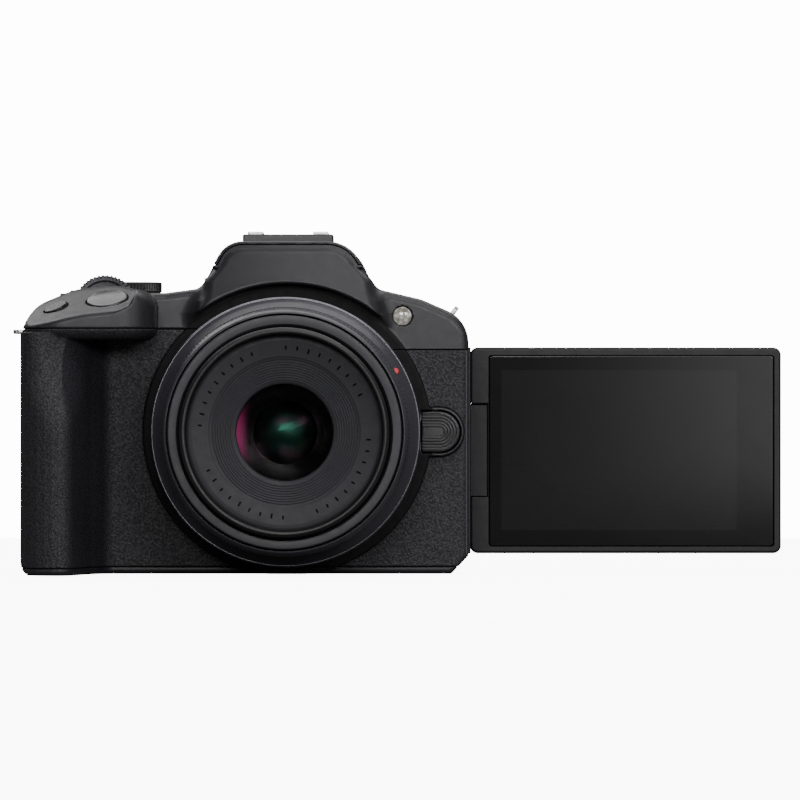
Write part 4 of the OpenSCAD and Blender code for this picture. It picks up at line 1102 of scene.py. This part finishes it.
# Barrel: wide base behind the zoom ring, and the tube that carries the rings out to the front face.
base_rows = ring((21, 21.5), (32.5, 21.5, 0.4), (33.2, 23.2, 0.6), (33.35, 29.7, 0.3), (27.45, 29.7),
                 (27.45, 57.9), (29.0, 57.9, 0.15), (29.0, 59.4, 0.3), (26.85, 59.32, 0.2), (26.3, 58.6, 0.1),
                 (26.1, 58.2), (26.1, 23.5), (21, 23.5))
lens_ring("lens_base", base_rows, LENS_DARK, "camera", "lens_barrel")
zoom_rows = line((27.5, 30), (33.3, 30), (33.7, 30.4, 0.2), (33.7, 31.2)) + wall(33.7, 31.5, 40.3, 4)
zoom_rows += line((33.7, 40.6), (33.7, 41.5, 0.4), (32.55, 42.7, 0.5), (31.35, 44.3, 0.4), (31.3, 44.6),
                  (27.5, 44.6))
lens_ring("zoom_grip", zoom_rows, LENS_GREY, "zoom", "zoom_ring", 960, teeth(160, 0.42, 31.3, 40.5, 0.6))
edge_rows = ring((33.0, 41.2), (33.72, 41.2, 0.1), (33.82, 41.5, 0.15), (33.55, 41.95, 0.15), (33.0, 42.0))
lens_ring("zoom_edge", edge_rows, EDGE, "zoom", "zoom_ring", 240)
control_rows = line((27.5, 44.9), (31, 44.9, 0.2), (31, 45.4)) + wall(31, 45.6, 54.0, 19)
control_rows += [(31.0, 54.6), (30.75, 55.2), (30.5, 55.7), (30.25, 56.2), (30.0, 56.7), (29.62, 57.3),
                 (29.45, 57.1), (29.45, 54.6), (27.5, 54.6)]
lens_ring("control_grip", control_rows, LENS_GREY, "control", "control_ring", 720, diamonds)
tube_rows = line((25, 36), (26, 36), (26, 63.5, 0.5), (25.3, 64.3, 0.3), (24.9, 64.3))
tube_rows += [(24.5 if i % 2 else 24.28, 64.05 - 0.19 * i) for i in range(17)]     # the filter thread
lens_ring("moving_tube", tube_rows + [(24.5, 60.9), (25, 60.9)], LENS_BLACK, "front_barrel", "inner_barrel")
name_rows = [(24.95, 60.4), (24.95, 58.9), (13.6, 55.1), (13.6, 50), (12.1, 50), (12.1, 57.0)]
for i in range(8, -1, -1):
    r, h = 18.45 - 0.63 * i, 59.45 - 0.25 * i
    name_rows += [(r - 0.6, h - 0.33), (r - 0.42, h - 0.3), (r - 0.3, h + 0.08), (r, h)]
name_rows += line((18.6, 59.55), (18.9, 59.75, 0.1), (22.9, 60.45, 0.2), (23.4, 60.4))
lens_ring("name_face", name_rows, NAME_FACE, "front_barrel", "name_ring")
GLASS = dict(body="front_barrel", part="front_element", steps=160)
lens_ring("front_lens", dome(12, 24, 56.2) + [(12, 50.6), (11.6, 50.4), (0, 50.4)], FRONT_GLASS,
          closed=False, slot="clear_glass", **GLASS)
lens_ring("deep_lens", dome(7.7, 9.5, 49.4) + [(7.7, 41.9), (0, 41.9)], DEEP_GLASS, closed=False,
          slot="clear_glass", **GLASS)
lens_ring("lens_retainer", ring((7.75, 41.9), (11.95, 41.9), (11.95, 50.25, 0.1), (11.75, 50.25),
                                (9.4, 49.3, 0.3), (8.1, 48.4), (7.75, 48.3, 0.1)), COAT_REFLECTION_PAINT, **GLASS)
dot_at = np.array([0, -44.0, AXIS]) + 31.45 * compass(29, True)[0]
key("lens_dot", dot_at, (0.35, -1, 0.2), 0.8, -0.3, 0.32, "camera", "lens_barrel", 0, 0.25,
    "lens_plastic", RED)

for part, at, n, top, stem in (
        ("shutter", SHUTTER_AT, SHUTTER_N, (5.2, -1.4, 0.5, -0.3, 0.6), (2.0, -4.5, -1.45)),
        ("multi", MULTI_AT, MULTI_N, (3.0, -2.0, 0.1, 0.0, 0.2), (1.2, -4, -2.05))):
    key(part + "_key_top", at, n, *top[:3], part + "_key", part + "_button", *top[3:], mat=BUTTON)
    key(part + "_key_stem", at, n, *stem, part + "_key", part + "_button", 0, 0.2)
for part, at, radius, low, top in (("movie", MOVIE_AT, 2.5, 68, 71.85), ("iso", ISO_AT, 2.3, 66, 71.3)):
    key(part + "_button_top", (*at, 0), UP, radius, low, top, part + "_key", part + "_button", 0.12, 0.3)
for part, at, radius, low in (
        ("menu", MENU_AT, 2.8, 15), ("info", INFO_AT, 2.8, 15), ("play", PLAY_AT, 2.8, 15),
        ("lock", LOCK_AT, 2.7, 15), ("focus_point", POINT_AT, 2.7, 14.6), ("set", PAD_AT, 4.1, 15.4)):
    key(part + "_button_top", (at[0], 0, at[1]), BACKWARD, radius, low, 18.5, part + "_key", part + "_button")

dial_rows = line((0, -1.4), (5.2, -1.4), (5.8, -1.5), (7.2, -1.5, 0.1), (7.5, -1.2)) + wall(7.5, -1.1, 1.1, 5)
dial_rows += line((7.5, 1.15), (7.5, 1.5, 0.1), (7.2, 1.5), (6.0, 1.45, 0.15), (5.8, 0.7, 0.1), (3.0, 0.5),
                  (0, 0.5))
lathe("front_dial", dial_rows, DIAL_AT, DIAL_N, DIAL, "main_wheel", "main_dial", 420,
      teeth(42, 0.34, -1.45, 1.6, 1.4, 7.3))
key("front_dial_stem", DIAL_AT, DIAL_N, 1.3, -3.9, -1.45, "main_wheel", "main_dial", 0, 0.1)
mode_rows = line((0, 71.5), (7.9, 71.5, 0.2), (8.2, 71.8)) + wall(8.2, 71.9, 73.7, 5)
mode_rows += line((8.2, 73.75), (8.1, 74.05, 0.2), (7.4, 74.2, 0.3), (6.9, 74.2), (6.7, 74.05), (3.0, 74.0),
                  (0, 74.0))
lathe("mode_wheel_top", mode_rows, (*MODE_AT, 0), UP, CONTROL, "mode_wheel", "mode_dial",
      576, teeth(64, 0.3, 71.85, 73.8, 0.8))
key("mode_wheel_stem", (*MODE_AT, 0), UP, 3.0, 66, 71.4, "mode_wheel", "mode_dial", 0, 0.1)
knob_rows = line((0, 0), (3.5, 0, 0.2), (3.6, 0.2)) + wall(3.6, 0.3, 1.9, 4)
knob_rows += line((3.6, 2.0), (3.4, 2.2, 0.1), (1.0, 2.2), (1.0, 3.7), (0, 3.7))
lathe("dioptre_wheel", knob_rows, (-21.8, *KNOB_AT), (1, 0, 0), CONTROL, "diopter_wheel",
      "diopter_knob", 240, teeth(24, 0.25, 0.25, 1.95))
lathe("beam_lamp", [(0, 13), (2.35, 13), (2.35, 16.7)] + dome(2.3, 6.0, 17.2, 12)[::-1],
      (LAMP_AT[0], 0, LAMP_AT[1]), FORWARD, LAMP, "camera", "lamp_lens", 96)


# ---------- Printed marks, all generic ----------
def dash(centre, u, v, half_u, half_v):
    """A flat strip about a centre: its corners, in order, and the direction that it faces."""
    u, v = np.array(u, float), np.array(v, float)
    corners = [centre + a * half_u * u + b * half_v * v for a, b in ((-1, -1), (1, -1), (1, 1), (-1, 1))]
    return corners, np.cross(u, v)


def marks(name, strips, mat, body, part):
    """Thin raised strips."""
    points, faces = [], []
    for corners, up in strips:
        low, high = len(points), len(points) + 4
        points += [c - 0.02 * up for c in corners] + [c + 0.03 * up for c in corners]
        faces.append([high, high + 1, high + 2, high + 3])
        for i in range(4):
            j = (i + 1) % 4
            faces.append([low + i, low + j, high + j, high + i])
    piece = add_mesh(name, points, faces, mat, body, part, smooth=False)
    outward(piece.data)


mode_marks, scale_marks, ring_marks = [], [], []
for i in range(9):
    out, side = compass(40 * i + 12, False)
    mode_marks.append(dash(np.array([*MODE_AT, 74.04]) + out * 5.3, out, side, 0.75, 0.16 if i % 2 else 0.42))
for i in range(7):
    out, side = compass(118 - 9 * i, True)
    middle = np.array([0, -25.5, AXIS]) + out * 33.42
    scale_marks.append(dash(middle, BACKWARD, side, 0.45 if i % 3 else 0.9, 0.12))
for i in range(46):
    if i % 23 not in (0, 1, 2, 12, 13):
        out, side = compass(360 / 46 * i + 3, True)
        middle = np.array([0, -60.18, AXIS]) + out * 21.1
        ring_marks.append(dash(middle, out, side, 0.55 if i % 3 else 0.8, 0.2))
marks("mode_marks", mode_marks, WHITE, "mode_wheel", "mode_dial")
marks("zoom_scale", scale_marks, WHITE, "camera", "lens_barrel")
marks("ring_ticks", ring_marks, GREY, "front_barrel", "name_ring")

# ---------- CAD nodes that stay ----------
KEPT = {
    "battery_door": COVER, "battery_latch": CONTROL, "chassis": ALLOY, "battery": CELL_WRAP,
    "main_board": BOARD,
    "image_sensor": SENSOR, "shutter_frame": INNER, "shutter_curtain": INNER, "memory_card": CARD_BLUE,
    "focus_group": INNER, "rear_element": DEEP_GLASS, "iris_unit": LENS_BLACK, "mount_flange": STEEL,
    "lens_mount": STEEL, "port_sockets": ALLOY, "screws": DARK_STEEL, "tripod_socket": STEEL,
    "hinge_bracket": CONTROL, "lcd_module": INNER, "flash_window": FLASH_PANE, "viewfinder_optics": EYE_GLASS,
}
for name, mat in KEPT.items():
    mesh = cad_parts[name].data
    if mesh.materials:
        for i in range(len(mesh.materials)):
            mesh.materials[i] = mat
    else:
        mesh.materials.append(mat)


# ---------- Studio ----------
def add_object(name, data):
    thing = bpy.data.objects.new(name, data)
    bpy.context.scene.collection.objects.link(thing)
    return thing


def aim(thing, at, target):
    thing.location = at
    thing.rotation_euler = (Vector(target) - Vector(at)).to_track_quat("-Z", "Y").to_euler()


def softbox(name, at, target, width, height, power):
    data = bpy.data.lights.new(name, "AREA")
    data.shape = "RECTANGLE"
    data.size, data.size_y = width, height
    data.energy = power
    lamp = add_object(name, data)
    lamp.visible_camera = False
    aim(lamp, at, target)


floor_corners = [(-0.9, -1.5), (0.9, -1.5), (0.9, 0.48), (-0.9, 0.48)]
floor_mesh = bpy.data.meshes.new("floor")
floor_mesh.from_pydata([(*c, -0.00015) for c in floor_corners], [], [(0, 1, 2, 3)])
floor = add_object("floor", floor_mesh)
paper = Look("floor_paper", (0.86, 0.86, 0.86), 0.9, level=0.0)
direct = paper.node("LightPath").outputs["Is Camera Ray"]
grain = paper.blend(paper.noise(40, 2), (0.85, 0.85, 0.85), (0.88, 0.88, 0.88))
paper.set("Base Color", paper.blend(direct, (0.16, 0.16, 0.16), grain))
paper.set("Emission Color", (1, 1, 1))
paper.set("Emission Strength", paper.calc("MULTIPLY", direct, 9.0))
floor_mesh.materials.append(paper.mat)

world = bpy.data.worlds.new("studio")
world.use_nodes = True
bpy.context.scene.world = world
sky = Graph(world.node_tree)
background = sky.tree.nodes["Background"]
sky.feed(background.inputs["Color"], (1, 1, 1))
direct = sky.node("LightPath").outputs["Is Camera Ray"]
sky.feed(background.inputs["Strength"], sky.spread(direct, 0.12, 14.0, 0, 1))

centre = (0.0, 0.0, 0.045)
for name, at, target, width, height, power in (
        ("overhead", (0.1, 0.4, 0.9), centre, 1.4, 0.6, 7),
        ("behind", (-0.55, 0.75, 0.7), centre, 0.5, 0.4, 1.5),
        ("above", (0.2, -0.55, 0.9), centre, 0.7, 0.5, 4.2),
        ("front", (-0.12, -1.65, 0.42), centre, 0.45, 0.25, 7),
        ("front_right", (0.5, -1.5, 0.42), centre, 0.4, 0.3, 5),
        ("right", (0.75, -0.75, 0.35), (0.05, 0, 0.045), 0.4, 0.6, 2.0),
        ("left", (-0.85, -0.66, 0.15), centre, 0.15, 0.5, 0.6)):
    softbox(name, at, target, width, height, power)
# A panel beside the camera that brightens towards its far end.
for i, level in enumerate((1, 3, 5.5, 9, 13)):
    across = 0.10 + 0.025 * i
    softbox(f"panel_{i}", (across, -2.0, 0.05), (across, 0, 0.05), 0.025, 0.6, 0.0036 * level)
softbox("panel_end", (0.3625, -2.0, 0.05), (0.3625, 0, 0.05), 0.3, 0.6, 0.75)

camera_data = bpy.data.cameras.new("camera")
camera_data.sensor_width = 36
camera_data.lens = 337.7
camera_data.clip_start = 0.05
camera = add_object("camera", camera_data)
aim(camera, (0.0286, -1.917, 0.04405), (0.0286, 0, 0.04405))
bpy.context.scene.camera = camera
